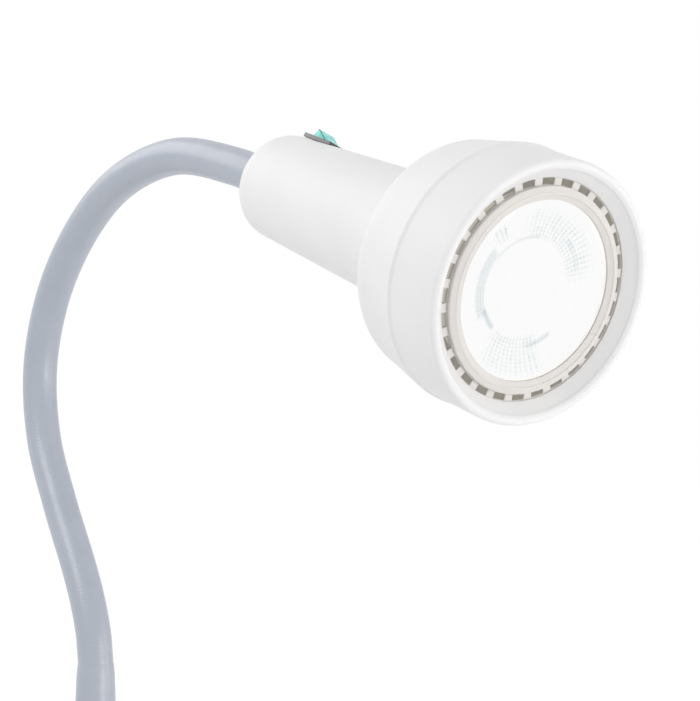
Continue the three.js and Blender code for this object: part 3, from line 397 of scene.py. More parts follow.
def shaded(material, base, dark):
    """Put a darker colour where the piece's own layer says so."""
    return blend_colours(material, shade_layer(material), base, dark)


def rocker_look():
    """Clear turquoise plastic, lit from within, with darker edges."""
    material = principled("rocker_green", (0.1, 0.78, 0.68), 0.3, IOR=1.49, Emission_Strength=0.14,
                          Coat_Weight=0.3, Coat_Roughness=0.1)
    cells = noise(material, 350, 3)
    tone = blend_colours(material, spread(material, cells, 0, 1, 0.35, 0.65),
                         (0.05, 0.52, 0.46), (0.12, 0.7, 0.62))
    tone = shaded(material, tone, (0.01, 0.12, 0.1))
    link(material, tone, "Base Color")
    link(material, tone, "Emission Color")
    grain(material, noise(material, 700, 2), 0.2, 0.05)
    return material


def switch_look():
    """Dull grey plastic, with painted shade on the end that faces the lamp."""
    material = surface("switch_grey", (0.24, 0.243, 0.247), (0.21, 0.213, 0.216), 0.45, 1600, 0.04,
                       patch=900)
    shader = material.node_tree.nodes["Principled BSDF"]
    base = shader.inputs["Base Color"].links[0].from_socket
    # Painted shade: a near-black grey on the faces that the layer marks.
    link(material, shaded(material, base, (0.05, 0.052, 0.055)), "Base Color")
    return material


def lens_look():
    """Clear glass, with a faint unevenness."""
    material = principled("lens_clear", (1, 1, 1), 0.02, IOR=1.3, Transmission_Weight=1.0)
    grain(material, noise(material, 60, 2), 0.1, 0.05)
    return material


def optic_look():
    """The lit optic: a painted glow for the light that its mirror facets reflect, broken by a painted reflection
    of the facets that a vertex layer shades.
    """
    material = principled("optic", (0.01, 0.01, 0.01), 0.5, Emission_Strength=0.945, Specular_IOR_Level=0.0)
    layer = shade_layer(material)
    fine = spread(material, noise(material, 1500, 3), -0.12, 0.12)
    total = material.node_tree.nodes.new("ShaderNodeMath")
    total.operation = "MULTIPLY_ADD"
    links = material.node_tree.links
    links.new(layer, total.inputs[0])
    links.new(fine, total.inputs[1])
    links.new(layer, total.inputs[2])
    tone = blend_colours(material, total.outputs[0], (1, 1, 1), (0.34, 0.48, 0.52))
    link(material, tone, "Emission Color")
    return material


LOOKS["rocker_green"] = rocker_look()
LOOKS["switch_grey"] = switch_look()
LOOKS["lens_clear"] = lens_look()
LOOKS["optic"] = optic_look()


def finished(obj, look, body, *nodes, slot=None):
    """Give a piece its finish and its body, and say which CAD nodes it stands for."""
    obj.data.materials.clear()
    obj.data.materials.append(LOOKS[look])
    if body:
        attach(obj, body)
    if nodes:
        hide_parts(*nodes)
    return obj


# ---------------------------------------------------------------- head: shroud, vents, housing

GAP = 0.3  # clearance between two pieces that meet
CLOSE = 0.02  # what is left of it where they are drawn touching
WALL = 2.2
SHROUD_R = 61.8
SHROUD_LENGTH = 30.8
LIP_R = 2.4  # of the rim's rounded lip
BELL_R = 52  # smallest radius of the bell, just outside the vents
BELL_DEPTH = 6.8
BELL_SKIRT = 0.6
TONGUE = 4  # reach of the shroud's tongue into the rear shell, and of the slope that leads to it
VENT_FRONT = -BELL_DEPTH - BELL_SKIRT - GAP
VENT_THICKNESS = 1.8
SHELL_FRONT_R = 62.5
SHELL_LEAD = 1.6  # slope of its front edge
SHELL_REAR_R = 57.6
SHELL_TAPER_END = 59
SHELL_ROUND = 12
NECK_FRONT_R = 33.2
NECK_START = 76
NECK_REAR_R = 27.7
NECK_ROUND = 13
NECK_STEP = 19  # between two rings of its length
HEAD_LENGTH = 222
ARM_HOLE_R = 8.3
SEAM = SHROUD_LENGTH + GAP - CLOSE  # the shroud's rear edge


def front_shroud():
    """The front of the head: a wall, a rounded lip, the bell round the lamp and a tongue at the rear."""
    inner = SHROUD_R - WALL
    tongue = SHELL_FRONT_R - WALL - GAP
    lip = arc(SHROUD_R - LIP_R, -LIP_R, LIP_R, 0, 125, 14)
    profile = [(SHROUD_R, -SEAM), (SHROUD_R, -SHROUD_LENGTH / 2)] + lip
    profile += [(SHROUD_R - 4.4, -0.9), (SHROUD_R - 4.75, -1.15), (SHROUD_R - 4.95, -1.55)]
    profile += rounded([
        (SHROUD_R - 5.6, -2.6), (BELL_R, -BELL_DEPTH, 0.3), (BELL_R, VENT_FRONT + GAP),
        (BELL_R + WALL, VENT_FRONT + GAP), (inner, -4.6), (inner, -SHROUD_LENGTH + TONGUE),
        (tongue - 1.2, -SHROUD_LENGTH), (tongue - 1.9, -SHROUD_LENGTH - TONGUE),
        (tongue - 0.7, -SHROUD_LENGTH - TONGUE, 0.3), (tongue, -SEAM),
    ], 6, closed=False)
    finished(new_object("shroud", revolve(profile, 180), HEAD), "housing_plastic", "head",
             "front_shroud")


VENT_COUNT = 28
VENT_OPEN = 0.62  # share of the pitch that a window takes
WINDOW_STEPS, RIB_STEPS = 7, 3
VENT_INNER_R = 48.5
VENT_OUTER_R = 51.7
VENT_RING_INNER_R = 46.5


def vent_ring():
    """A flat ring with a window between each pair of ribs."""
    shape = bmesh.new()
    radii = [VENT_RING_INNER_R, VENT_INNER_R, VENT_OUTER_R, SHROUD_R - WALL - GAP]
    pitch = 2 * math.pi / VENT_COUNT
    angles = []
    for i in range(VENT_COUNT):
        start = (i - VENT_OPEN / 2) * pitch
        angles += [start + VENT_OPEN * pitch * k / WINDOW_STEPS for k in range(WINDOW_STEPS)]
        rib = start + VENT_OPEN * pitch
        angles += [rib + (1 - VENT_OPEN) * pitch * k / RIB_STEPS for k in range(RIB_STEPS)]
    count = len(angles)
    grids = [[[shape.verts.new((r * math.cos(a), r * math.sin(a), z)) for r in radii] for a in angles]
             for z in (VENT_FRONT, VENT_FRONT - VENT_THICKNESS)]

    def solid(i, j):
        return 0 <= j < 3 and not (j == 1 and i % (WINDOW_STEPS + RIB_STEPS) < WINDOW_STEPS)

    for i in range(count):
        k = (i + 1) % count
        for j in range(3):
            if not solid(i, j):
                continue
            for grid in grids:
                shape.faces.new((grid[i][j], grid[k][j], grid[k][j + 1], grid[i][j + 1]))
            walls = [(not solid(i, j - 1), (i, j), (k, j)), (not solid(i, j + 1), (i, j + 1), (k, j + 1)),
                     (not solid((i - 1) % count, j), (i, j), (i, j + 1)),
                     (not solid(k, j), (k, j), (k, j + 1))]
            for needed, (p, q), (s, t) in walls:
                if needed:
                    shape.faces.new((grids[0][p][q], grids[0][s][t], grids[1][s][t], grids[1][p][q]))
    ring = new_object("vents", shape, HEAD)
    finished(softened(ring, 0.2), "lamp_trim", "head", "vent_ring")


def neck_radius(depth):
    """The neck's radius at a depth behind the rim."""
    share = (depth - NECK_START) / (HEAD_LENGTH - NECK_ROUND - NECK_START)
    return NECK_FRONT_R + (NECK_REAR_R - NECK_FRONT_R) * share


def housing_profile(offset):
    """The rear shell and neck, set in by an offset, from the seam back to the arm's hole."""
    edge_r, tail_r = SHELL_REAR_R - SHELL_ROUND, NECK_REAR_R - NECK_ROUND
    front = -SHROUD_LENGTH - GAP
    points = [(SHROUD_R + 0.05 - offset, front), (SHELL_FRONT_R - offset, front - SHELL_LEAD)]
    points += arc(edge_r, -SHELL_TAPER_END, SHELL_ROUND - offset, 0, -90, 12)
    shoulder = -SHELL_TAPER_END - SHELL_ROUND + offset
    points += [(NECK_FRONT_R - offset + 0.8, shoulder), (NECK_FRONT_R - offset, shoulder - 0.8)]
    for depth in range(NECK_START, HEAD_LENGTH - NECK_ROUND, NECK_STEP):
        points.append((neck_radius(depth) - offset, -depth))
    points += arc(tail_r, -HEAD_LENGTH + NECK_ROUND, NECK_ROUND - offset, 0, -90, 12)
    points.append((ARM_HOLE_R, -HEAD_LENGTH + offset))
    return points


SWITCH_AT = 196.2
BEZEL_LENGTH = 23.5
BEZEL_WIDTH = 15.5
BEZEL_HEIGHT = 2.2
SWITCH_LENGTH = 19
SWITCH_WIDTH = 13.4
SWITCH_DEPTH = 12.6  # of its body under the bezel
SWITCH_SEAT = math.sqrt(neck_radius(SWITCH_AT) ** 2 - (BEZEL_WIDTH / 2) ** 2)
SCREW_PLACES = [(58, -44), (160, -19.5)]  # depth and distance to the side
SCREW_HEAD_R = 2.9
SCREW_HEAD = 1.8  # height of its pan head
SCREW_R = 1.4
SCREW_BORE_R = 1.7
SCREW_BOSS_R = 4.2
BEYOND = 70  # clear of the head on either side, for a tool that goes through its wall


def half_shell(first, last):
    """Half of the rear shell and neck, between two angles about the light's axis."""
    profile = housing_profile(0) + list(reversed(housing_profile(WALL)))
    return revolve(profile, 90, sweep=(first, last))


def screw_reach(depth, y):
    """How far a screw's head is seated from the light's axis, away from the switch."""
    radius = SHELL_REAR_R if depth < NECK_START else neck_radius(depth)
    return math.sqrt(radius * radius - y * y) - SCREW_HEAD_R - WALL


def along_x(depth, y):
    """Lays a shape's Z axis along the head's X axis, at a depth and a distance to the side."""
    return Matrix.Translation((0, y, -depth)) @ Matrix.Rotation(math.pi / 2, 4, "Y")


def switch_block(low, high, width, length):
    """A block centred on the switch, between two heights above the light's axis."""
    return cuboid((low, -width / 2, -SWITCH_AT - length / 2), (high, width / 2, -SWITCH_AT + length / 2))


def housing_upper():
    """The half that carries the switch, with a flat seat for its bezel and a hole for its body."""
    upper = new_object("housing_top", half_shell(-90, 90), HEAD)
    cut(upper, switch_block(SWITCH_SEAT, BEYOND, BEZEL_WIDTH + 2 * GAP, BEZEL_LENGTH + 2 * GAP), HEAD)
    join(upper, switch_block(NECK_REAR_R - 2 * WALL, SWITCH_SEAT, BEZEL_WIDTH, BEZEL_LENGTH), HEAD)
    cut(upper, switch_block(5, BEYOND, SWITCH_WIDTH + 2 * GAP, SWITCH_LENGTH + 2 * GAP), HEAD)
    finished(upper, "housing_plastic", "head", "housing_upper")


def housing_lower():
    """The half away from the switch, with a boss and a sunk seat for each screw."""
    lower = new_object("housing_bottom", half_shell(90, 270), HEAD)
    outside = [(0, -SHROUD_LENGTH - GAP)] + housing_profile(0.5)[:-1] + [(0, -HEAD_LENGTH + 0.5)]
    for depth, y in SCREW_PLACES:
        boss = new_object("boss", turned_to(cylinder(SCREW_BOSS_R, -BEYOND, -0.2), along_x(depth, y)), HEAD)
        combine(boss, new_object("tool", revolve(outside, 72), HEAD), "INTERSECT")
        combine(lower, boss, "UNION")
    for depth, y in SCREW_PLACES:
        head = -screw_reach(depth, y)
        cut(lower, turned_to(cylinder(SCREW_HEAD_R + GAP, -BEYOND, head), along_x(depth, y)), HEAD)
        cut(lower, turned_to(cylinder(SCREW_BORE_R, head - 1, 1), along_x(depth, y)), HEAD)
    finished(lower, "housing_plastic", "head", "housing_lower")


def housing_screws():
    """Pan-head screws with a cross recess, on the side away from the switch."""
    for number, (depth, y) in enumerate(SCREW_PLACES, 1):
        head = -screw_reach(depth, y)
        top = head - SCREW_HEAD
        profile = rounded([(0, top), (SCREW_HEAD_R, top, 0.8), (SCREW_HEAD_R, head - GAP, 0.1),
                           (SCREW_R, head - GAP), (SCREW_R, 10), (0, 11.2)], closed=False)
        screw = new_object(f"screw_{number}", turned_to(revolve(profile, 32), along_x(depth, y)), HEAD)
        for x, across in ((1.6, 0.35), (0.35, 1.6)):
            recess = cuboid((-x, -across, head - 3), (x, across, head - SCREW_HEAD / 2))
            cut(screw, turned_to(recess, along_x(depth, y)), HEAD)
        finished(screw, "steel", "head", f"housing_screw_{number}")


# ---------------------------------------------------------------- head: lamp

LAMP_R = 48.4
LAMP_FRONT = -4.3
LENS_R = 41.8
LENS_FRONT = LAMP_FRONT - 2.1
LENS_BACK = LENS_FRONT - 1.8
RING_INNER_R = LENS_R + GAP


def lamp_ring():
    """The lamp's face ring, with a raised bead round the lens."""
    inner = RING_INNER_R
    back = -BELL_DEPTH - BELL_SKIRT
    profile = rounded([
        (inner, back), (inner, LAMP_FRONT - 1.6, 0.1), (inner + 2.4, LAMP_FRONT - 0.5, 0.3),
        (inner + 2.8, LAMP_FRONT, 0.15), (inner + 3.5, LAMP_FRONT, 0.2), (inner + 3.9, LAMP_FRONT - 0.4, 0.2),
        (LAMP_R, LAMP_FRONT - 1.5, 0.8), (LAMP_R, back),
    ], 5)
    finished(new_object("lamp_ring", revolve(profile, 180), HEAD), "lamp_trim", "head", "lamp_rim")


def lamp_lens():
    """The lens, drawn out to the ring."""
    edge = RING_INNER_R - CLOSE
    profile = rounded([(0, LENS_BACK), (edge, LENS_BACK), (edge, LENS_FRONT - 0.3, 0.1),
                       (LENS_R * 0.6, LENS_FRONT - 0.1), (0, LENS_FRONT)], closed=False)
    finished(new_object("lens", revolve(profile, 120), HEAD, 60), "lens_clear", "head", "lamp_lens")


OPTIC_OUTER_R = 41.8
OPTIC_INNER_R = 22.8
OPTIC_DEPTH = 4.6
OPTIC_WALL = 0.7
OPTIC_MOUTH = LENS_BACK - GAP
FACETS = 80
FACET_RINGS = 11
SUB = 4  # steps across a facet
PILLOW = 0.25  # height of a facet's middle over its edges
BACK_STEPS = (1, 0.75, 0.5, 0.25, 0)  # where the optic's back has its rings, from the disc outwards
DISC_R = 25.5
DISC_RISE_R = 21.5
FLECK_SEED = 7


def window(value, start, stop, edge):
    """1 between start and stop, falling to 0 over an edge on either side."""
    rise = np.clip((value - start + edge) / edge, 0, 1)
    fall = np.clip((stop + edge - value) / edge, 0, 1)
    return rise * fall


def facet_shade(angle, share, u, v, rng):
    """How much each point of the optic darkens, as painted reflection: fine dashes in three patches, and ladders
    round the disc.
    """
    degrees = np.degrees(angle) % 360
    turned = (degrees + 180) % 360
    fleck = np.repeat(np.repeat(rng.random((FACETS, FACET_RINGS + 1)), SUB, 0), SUB, 1)
    fleck = fleck[:angle.shape[0], :angle.shape[1]] ** 1.5
    dash = (np.abs(u - 0.5) * 2) ** 1.5 * (0.5 + 1.3 * np.abs(v - 0.5) * 2)
    near = 0.55 + 0.45 * share
    upper = window(turned, 132, 205, 14) * window(share, 0.42, 0.9, 0.24) * near
    lower = window(degrees, 174, 220, 10) * window(share, 0.16, 0.9, 0.12) * near
    corner = window(degrees, 58, 68, 4) * window(share, 0.42, 0.66, 0.14) * 1.2
    rung = 0.45 + 0.55 * (np.abs(v - 0.5) * 2 > 0.6) * (np.abs(u - 0.5) > 0.2)
    left = window(degrees, 78, 140, 6) * window(share, 0.68, 0.9, 0.05)
    tip = window(degrees, 140, 160, 5) * window(share, 0.86, 0.96, 0.04)
    right = window(degrees, 312, 340, 5) * window(share, 0.64, 0.72, 0.04)
    foot = window(degrees, 216, 241, 4) * window(share, 0.7, 0.78, 0.04)
    thin = window(turned, 200, 254, 6) * window(share, 0.95, 0.98, 0.03) * 0.2
    grid = dash * (0.35 + 0.65 * fleck) * (upper + lower + corner) * 0.4
    return np.clip(grid + rung * (0.45 * left + 0.7 * tip + 0.25 * right + 0.5 * foot) + thin, 0, 1)


def bowl_radius(share):
    """The optic's radius at a share of the way in from its mouth."""
    return OPTIC_OUTER_R + (OPTIC_INNER_R - OPTIC_OUTER_R) * share


def bowl_height(share):
    """The optic's height there, along the light's axis."""
    return OPTIC_MOUTH - OPTIC_DEPTH * share * (2 - share)


def lamp_optic():
    """A shallow ring of pillow facets round the disc that lights up."""
    rng = np.random.default_rng(FLECK_SEED)
    columns, rows = FACETS * SUB, FACET_RINGS * SUB
    j, i = np.meshgrid(np.arange(rows + 1), np.arange(columns))
    angle = 2 * np.pi * i / columns
    share = j / rows
    u, v = (i % SUB) / SUB, (j % SUB) / SUB
    pillow = np.sin(np.pi * u) * np.sin(np.pi * v)
    radius = bowl_radius(share)
    z = bowl_height(share) + PILLOW * pillow * (j % rows > 0)
    shade = facet_shade(angle, share, u, v, rng)
    shape = bmesh.new()
    layer = shape.verts.layers.float.new("shade")
    rings = []
    for column in range(columns):
        ring = []
        for row in range(rows + 1):
            r, a = radius[column, row], angle[column, row]
            vert = shape.verts.new((r * math.cos(a), r * math.sin(a), z[column, row]))
            vert[layer] = float(shade[column, row])
            ring.append(vert)
        a = 2 * math.pi * column / columns
        for part in BACK_STEPS:
            r = bowl_radius(part)
            ring.append(shape.verts.new((r * math.cos(a), r * math.sin(a), bowl_height(part) - OPTIC_WALL)))
        rings.append(ring)
    size = len(rings[0])
    for column in range(columns):
        a, b = rings[column], rings[(column + 1) % columns]
        for row in range(size):
            k = (row + 1) % size
            shape.faces.new((a[row], a[k], b[k], b[row]))
    optic = new_object("optic", shape, HEAD, 60)
    # Painted light: the mirror optic glows, for the lamp's light that it reflects.
    finished(optic, "optic", "head", "lamp_reflector", slot="reflector_mirror")


def light_disc():
    """The disc that lights up, domed, on its round board."""
    floor = OPTIC_MOUTH - OPTIC_DEPTH - 3
    profile = rounded([(0, floor + GAP), (DISC_R, floor + GAP), (DISC_R, floor + 1.7),
                       (DISC_RISE_R, floor + 1.7), (DISC_RISE_R, floor + 2.5, 0.2), (14, floor + 3.1),
                       (0, floor + 3.3)], closed=False)
    disc = new_object("light_disc", revolve(profile, 96), HEAD, 60)
    finished(disc, "optic", "head", "led_module", slot="led")


# ---------------------------------------------------------------- head: switch

ROCKER_REACH = 7.25
ROCKER_WIDTH = 11
ROCKER_DROP = 0.6
ROCKER_BELOW = 5.4
ROCKER_EDGE_AREA = 1e-5  # square metres: its rounded edges are smaller, its faces larger
ROCKER_REST = math.radians(25)
ROCKER_SPREAD = math.radians(20.2)  # rise of its top's ends, seen from the pivot


def mark_faces(obj, chosen):
    """A layer that is 1 on the chosen faces and 0 on the rest."""
    layer = obj.data.attributes.new("shade", "FLOAT", "CORNER")
    for face in obj.data.polygons:
        value = float(chosen(face))
        for corner in face.loop_indices:
            layer.data[corner].value = value


def switch():
    """The switch's bezel and body, with the pocket that the rocker turns in."""
    seat = SWITCH_SEAT + GAP
    top = seat + BEZEL_HEIGHT
    body = new_object("switch_body", switch_block(seat, top, BEZEL_WIDTH, BEZEL_LENGTH), HEAD)
    join(body, switch_block(seat - SWITCH_DEPTH, seat + 1, SWITCH_WIDTH, SWITCH_LENGTH), HEAD)
    floor = top - ROCKER_DROP - ROCKER_BELOW
    cut(body, switch_block(floor, top + 1, ROCKER_WIDTH + 2 * GAP, 2 * (ROCKER_REACH + GAP)), HEAD)
    softened(body, 0.4, 40, 3)
    # Painted shade: the faces of the end that faces the lamp are marked to be drawn darker.
    ahead = (HEAD.to_3x3() @ Vector((0, 0, 1))).normalized()
    mark_faces(body, lambda face: face.normal.dot(ahead) > 0.8)
    finished(body, "switch_grey", "head", "switch_housing", slot="dark_plastic")


def rocker():
    """The rocker, with its rear end up."""
    reach, rise = ROCKER_REACH * math.cos(ROCKER_SPREAD), ROCKER_REACH * math.sin(ROCKER_SPREAD)
    half = [(reach, rise), (reach, 0.3 - rise), (2.5, -4.2)]
    outline = half + [(-x, y) for x, y in reversed(half)]
    upright = Matrix(((0, 1, 0, 0), (0, 0, -1, 0), (-1, 0, 0, 0), (0, 0, 0, 1)))
    pivot = Matrix.Translation((SWITCH_SEAT + GAP + BEZEL_HEIGHT - ROCKER_DROP, 0, -SWITCH_AT))
    tipped = Matrix.Rotation(ROCKER_REST, 4, "Z")
    shape = turned_to(prism(outline, -ROCKER_WIDTH / 2, ROCKER_WIDTH / 2), pivot @ upright @ tipped)
    piece = softened(new_object("switch_rocker", shape, HEAD), 0.45, 30, 2)
    mark_faces(piece, lambda face: face.area < ROCKER_EDGE_AREA)
    finished(piece, "rocker_green", "rocker", "rocker")


# ---------------------------------------------------------------- arm

ARM_R = 10.4
ARM_WALL = 1.7
HOSE_R = 8.4  # of the wound hose inside the sheath
HOSE_BORE_R = 5.2
ARM_FOOT_Z = 119
FIRST_JOINT = 12  # from the foot to the first bend
LAST_JOINT = 18  # from the last bend to the head
LINKS = 8
RIBS_PER_LINK = 24
RIB = 0.035  # half of a rib's height
COLLAR = 6  # length of the cuff at the head
ARM_POINTS = [  # of its centre line, as [x, z]
    (0, 119), (-3.2, 137), (-10.5, 156), (-20.8, 175), (-44.8, 213), (-64.9, 252), (-70.3, 293),
    (-57.1, 334), (-27, 370), (19, 398), (82.5, 408.5), (144.2, 396.5), (183.1, 383.3),
]


def centripetal(points, steps=240):
    """A centripetal Catmull-Rom curve through the points, as a fine polyline."""
    points = [np.array(p, float) for p in points]
    points = [2 * points[0] - points[1]] + points + [2 * points[-1] - points[-2]]
    out = []
    for p0, p1, p2, p3 in zip(points, points[1:], points[2:], points[3:]):
        d0, d1, d2 = (np.linalg.norm(b - a) ** 0.5 for a, b in ((p0, p1), (p1, p2), (p2, p3)))
        m1 = ((p1 - p0) / d0 - (p2 - p0) / (d0 + d1) + (p2 - p1) / d1) * d1
        m2 = ((p2 - p1) / d1 - (p3 - p1) / (d1 + d2) + (p3 - p2) / d2) * d1
        t = np.linspace(0, 1, steps, endpoint=False)[:, None]
        out.append((2 * t**3 - 3 * t**2 + 1) * p1 + (t**3 - 2 * t**2 + t) * m1
                   + (3 * t**2 - 2 * t**3) * p2 + (t**3 - t**2) * m2)
    out.append(points[-2][None])
    return np.vstack(out)


ARM_LINE = centripetal(ARM_POINTS)
ARM_RUN = np.concatenate([[0], np.cumsum(np.linalg.norm(np.diff(ARM_LINE, axis=0), axis=1))])
ARM_LENGTH = float(ARM_RUN[-1])
LINK_LENGTH = (ARM_LENGTH - FIRST_JOINT - LAST_JOINT) / LINKS


def arm_point(s):
    """The point of the centre line at a distance from the arm's foot, below which it runs straight down."""
    if s < 0:
        return np.array((0.0, ARM_FOOT_Z + s))
    return np.array([np.interp(s, ARM_RUN, ARM_LINE[:, k]) for k in (0, 1)])


def hose(name, start, stop, radius, bore, step, sides=48):
    """A tube along the arm, with its radius from a function of the distance along it."""
    shape = bmesh.new()
    count = max(2, round((stop - start) / step))
    outer, inner = [], []
    for i in range(count + 1):
        s = start + (stop - start) * i / count
        ahead, behind = arm_point(s + 0.5), arm_point(s - 0.5)
        tangent = (ahead - behind) / np.linalg.norm(ahead - behind)
        middle = arm_point(s)
        for rings, r in ((outer, radius(s)), (inner, bore)):
            ring = []
            for k in range(sides):
                angle = 2 * math.pi * k / sides
                side, up = r * math.cos(angle), r * math.sin(angle)
                x, z = middle[0] - up * tangent[1], middle[1] + up * tangent[0]
                ring.append(shape.verts.new((x, side, z)))
            rings.append(ring)
    for rings in (outer, inner):
        for a, b in zip(rings, rings[1:]):
            for k in range(sides):
                n = (k + 1) % sides
                shape.faces.new((a[k], a[n], b[n], b[k]))
    for end in (0, -1):
        for k in range(sides):
            n = (k + 1) % sides
            shape.faces.new((outer[end][k], outer[end][n], inner[end][n], inner[end][k]))
    return new_object(name, shape, WORLD, 50)


def arm():
    """The sheath and the wound hose in it, in a piece for each bend, from mid-link to mid-link."""
    end = ARM_LENGTH - COLLAR
    middles = [-4] + [FIRST_JOINT + LINK_LENGTH * (k + 0.5) for k in range(LINKS)] + [end]
    pitch = LINK_LENGTH / RIBS_PER_LINK

    def ribbed(s):
        return ARM_R - RIB + RIB * math.cos(2 * math.pi * (s - middles[1]) / pitch)

    def wound(s):
        return HOSE_R - 0.35 + 0.3 * math.cos(2 * math.pi * (s - middles[1]) / (2 * pitch))

    for bend in range(LINKS + 1):
        start, stop = middles[bend], middles[bend + 1]
        cover = hose(f"sheath_bend_{bend + 1}", start, stop, ribbed, ARM_R - ARM_WALL, pitch / 4)
        wire = hose(f"hose_bend_{bend + 1}", start, stop, wound, HOSE_BORE_R, pitch / 3, 24)
        for piece, look, kind in ((cover, "arm_sheath", "sheath"), (wire, "steel", "conduit")):
            nodes = [f"{kind}_{bend + 1}"] if bend < LINKS else []
            finished(piece, look, None, *nodes)
            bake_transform(piece)


def arm_cuff():
    """The soft cuff over the fitting at the head."""
    back, inside = -HEAD_LENGTH - GAP, -HEAD_LENGTH + 12.5
    end = back - COLLAR - 0.4
    profile = rounded([
        (ARM_HOLE_R - GAP, inside, 0.5), (ARM_HOLE_R - GAP, back), (ARM_R + 0.75, back, 0.3),
        (ARM_R + 0.45, back - COLLAR, 0.5), (ARM_R + 0.02, end), (5, end), (5, inside),
    ], 4)
    cuff = new_object("arm_cuff", revolve(profile, 64), HEAD)
    finished(cuff, "arm_sheath", "head", "head_ferrule")


def foot_sleeve():
    """The soft sleeve at the arm's foot, widening downwards."""
    top_r, bottom_r, bottom = 10.5, 13.3, 58
    profile = rounded([
        (8.3, bottom), (bottom_r, bottom, 1.2), (11.15, ARM_FOOT_Z - 6, 8), (top_r, ARM_FOOT_Z, 0.1),
        (8.7, ARM_FOOT_Z), (8.7, ARM_FOOT_Z - 6), (9.9, ARM_FOOT_Z - 8), (9.9, 83.7), (8.3, 83.7),
    ], 5)
    sleeve = new_object("sleeve", revolve(profile, 96), WORLD)
    finished(sleeve, "arm_sheath", "column", "foot_sleeve")


def column_tube():
    """The tube that turns in the clamp, with a groove for the locking screw's tip."""
    profile = rounded([
        (5.5, 16), (8, 16, 0.8), (8, 34), (7, 34.4, 0.2), (7, 41.6, 0.2), (8, 42), (8, 100, 0.6), (5.5, 100),
    ], 3)
    finished(new_object("column_tube", revolve(profile, 64), WORLD), "steel", "column", "spigot")


# ---------------------------------------------------------------- clamp

CLAMP_WIDTH = 34
JAW_FRONT = 30
SPINE_BACK = -36
SPINE = 14
JAW_TOP = 17
CLAMP_DEPTH = 80
CLAMP_BOSS_R = 17
BOSS_TOP = 54
COLUMN_BORE_R = 8.3
COLUMN_SEAT_Z = 15.7
CABLE_BORE_R = 5.5
SPINDLE_X = 5
SPINDLE_BORE_R = 6.3
SPINDLE_AXIS = Matrix.Translation((SPINDLE_X, 0, 0))
LOCK_Z = 38
LOCK_BORE_R = 3.3
LOCK_AXIS = Matrix.Translation((0, 0, LOCK_Z)) @ Matrix.Rotation(math.pi / 2, 4, "X")  # towards -Y
GLAND_Z = 11
GLAND_BORE_R = 4.5
GLAND_AXIS = Matrix.Translation((0, 0, GLAND_Z)) @ Matrix.Rotation(-math.pi / 2, 4, "Y")  # towards -X


def clamp_body():
    """The cast frame, with its boss and the bores for the column, two screws and the gland."""
    bottom, inner, under = -CLAMP_DEPTH, SPINE_BACK + SPINE, 2.3
    shelf = bottom + SPINE
    outline = rounded([
        (inner, under, 5), (JAW_FRONT, under, 1.5), (JAW_FRONT, JAW_TOP, 6), (SPINE_BACK, JAW_TOP, 7),
        (SPINE_BACK, bottom, 9), (SPINDLE_X + 13, bottom, 5), (SPINDLE_X + 13, shelf, 2), (inner, shelf, 6),
    ], 6)
    body = new_object("clamp_frame", turned_to(prism(outline, -CLAMP_WIDTH / 2, CLAMP_WIDTH / 2), UPRIGHT))
    profile = rounded([(0, JAW_TOP - 6), (CLAMP_BOSS_R, JAW_TOP - 6), (CLAMP_BOSS_R, BOSS_TOP, 2.4),
                       (0, BOSS_TOP)], closed=False)
    join(body, revolve(profile, 96))
    cut(body, cylinder(COLUMN_BORE_R, COLUMN_SEAT_Z, BOSS_TOP + 6, 64))
    cut(body, cylinder(CABLE_BORE_R, 9, 20))
    cut(body, turned_to(cylinder(LOCK_BORE_R, 0, 20, 32), LOCK_AXIS))
    cut(body, turned_to(cylinder(GLAND_BORE_R, 0, 40, 32), GLAND_AXIS))
    cut(body, turned_to(cylinder(SPINDLE_BORE_R, bottom - 1, shelf + 1), SPINDLE_AXIS))
    finished(softened(body, 1.2, 40, 3), "enamel", "clamp", "clamp_body")


GROOVE_PITCH = 4


def jaw_pad():
    """A rubber pad with cross grooves in the face that rests on the table."""
    outline = [(-17, 0.9), (-16.6, 2), (28.6, 2), (29, 0.9), (29, 0)]
    for x in range(26, -15, -GROOVE_PITCH):
        outline += [(x + 0.9, 0), (x + 0.5, 0.7), (x - 0.5, 0.7), (x - 0.9, 0)]
    outline.append((-17, 0))
    pad = new_object("pad_top", turned_to(prism(outline, -16, 16), UPRIGHT))
    finished(pad, "rubber", "clamp", "jaw_pad")


def thread(profile_radius, pitch, low, high, depth):
    """A radius that follows a screw thread between two heights."""
    def wave(r, z, angle):
        if abs(r - profile_radius) > 1e-6 or not low <= z <= high:
            return r
        phase = ((z - low) / pitch - angle / (2 * math.pi)) % 1
        ridge = min(1.0, max(0.0, 1.6 - abs(phase - 0.5) * 4))
        fade = min(1.0, (z - low) / pitch, (high - z) / pitch)
        return r - depth * (1 - ridge) * fade
    return wave


SPINDLE_R = 6
SPINDLE_PITCH = 2
THREAD_DEPTH = 0.9
THREAD_STEP = 0.25  # between two rings of the thread
BAR_Z = -111
BAR_AXIS = Matrix.Translation((SPINDLE_X, 0, BAR_Z)) @ Matrix.Rotation(math.pi / 2, 4, "X")


def spindle():
    """The clamp's screw, with a real thread and a head that the sliding bar goes through."""
    top, shoulder, end = -36.8, -40.3, -118
    low, high = BAR_Z + 8.5, shoulder - 1
    count = round((high - low) / THREAD_STEP)
    flank = [(SPINDLE_R, low + (high - low) * i / count) for i in range(count + 1)]
    profile = [(0, end), (7.5, end), (8.5, end + 1), (8.5, BAR_Z + 6), (SPINDLE_R, BAR_Z + 8)] + flank
    profile += [(SPINDLE_R, shoulder), (4.5, shoulder), (4.5, top + 0.5), (4, top), (0, top)]
    wave = thread(SPINDLE_R, SPINDLE_PITCH, low, high, THREAD_DEPTH)
    screw = new_object("clamp_screw", turned_to(revolve(profile, 48, wave=wave), SPINDLE_AXIS), sharp=50)
    cut(screw, turned_to(cylinder(2.8, -12, 12, 32), BAR_AXIS))
    finished(screw, "steel", "spindle", "spindle")


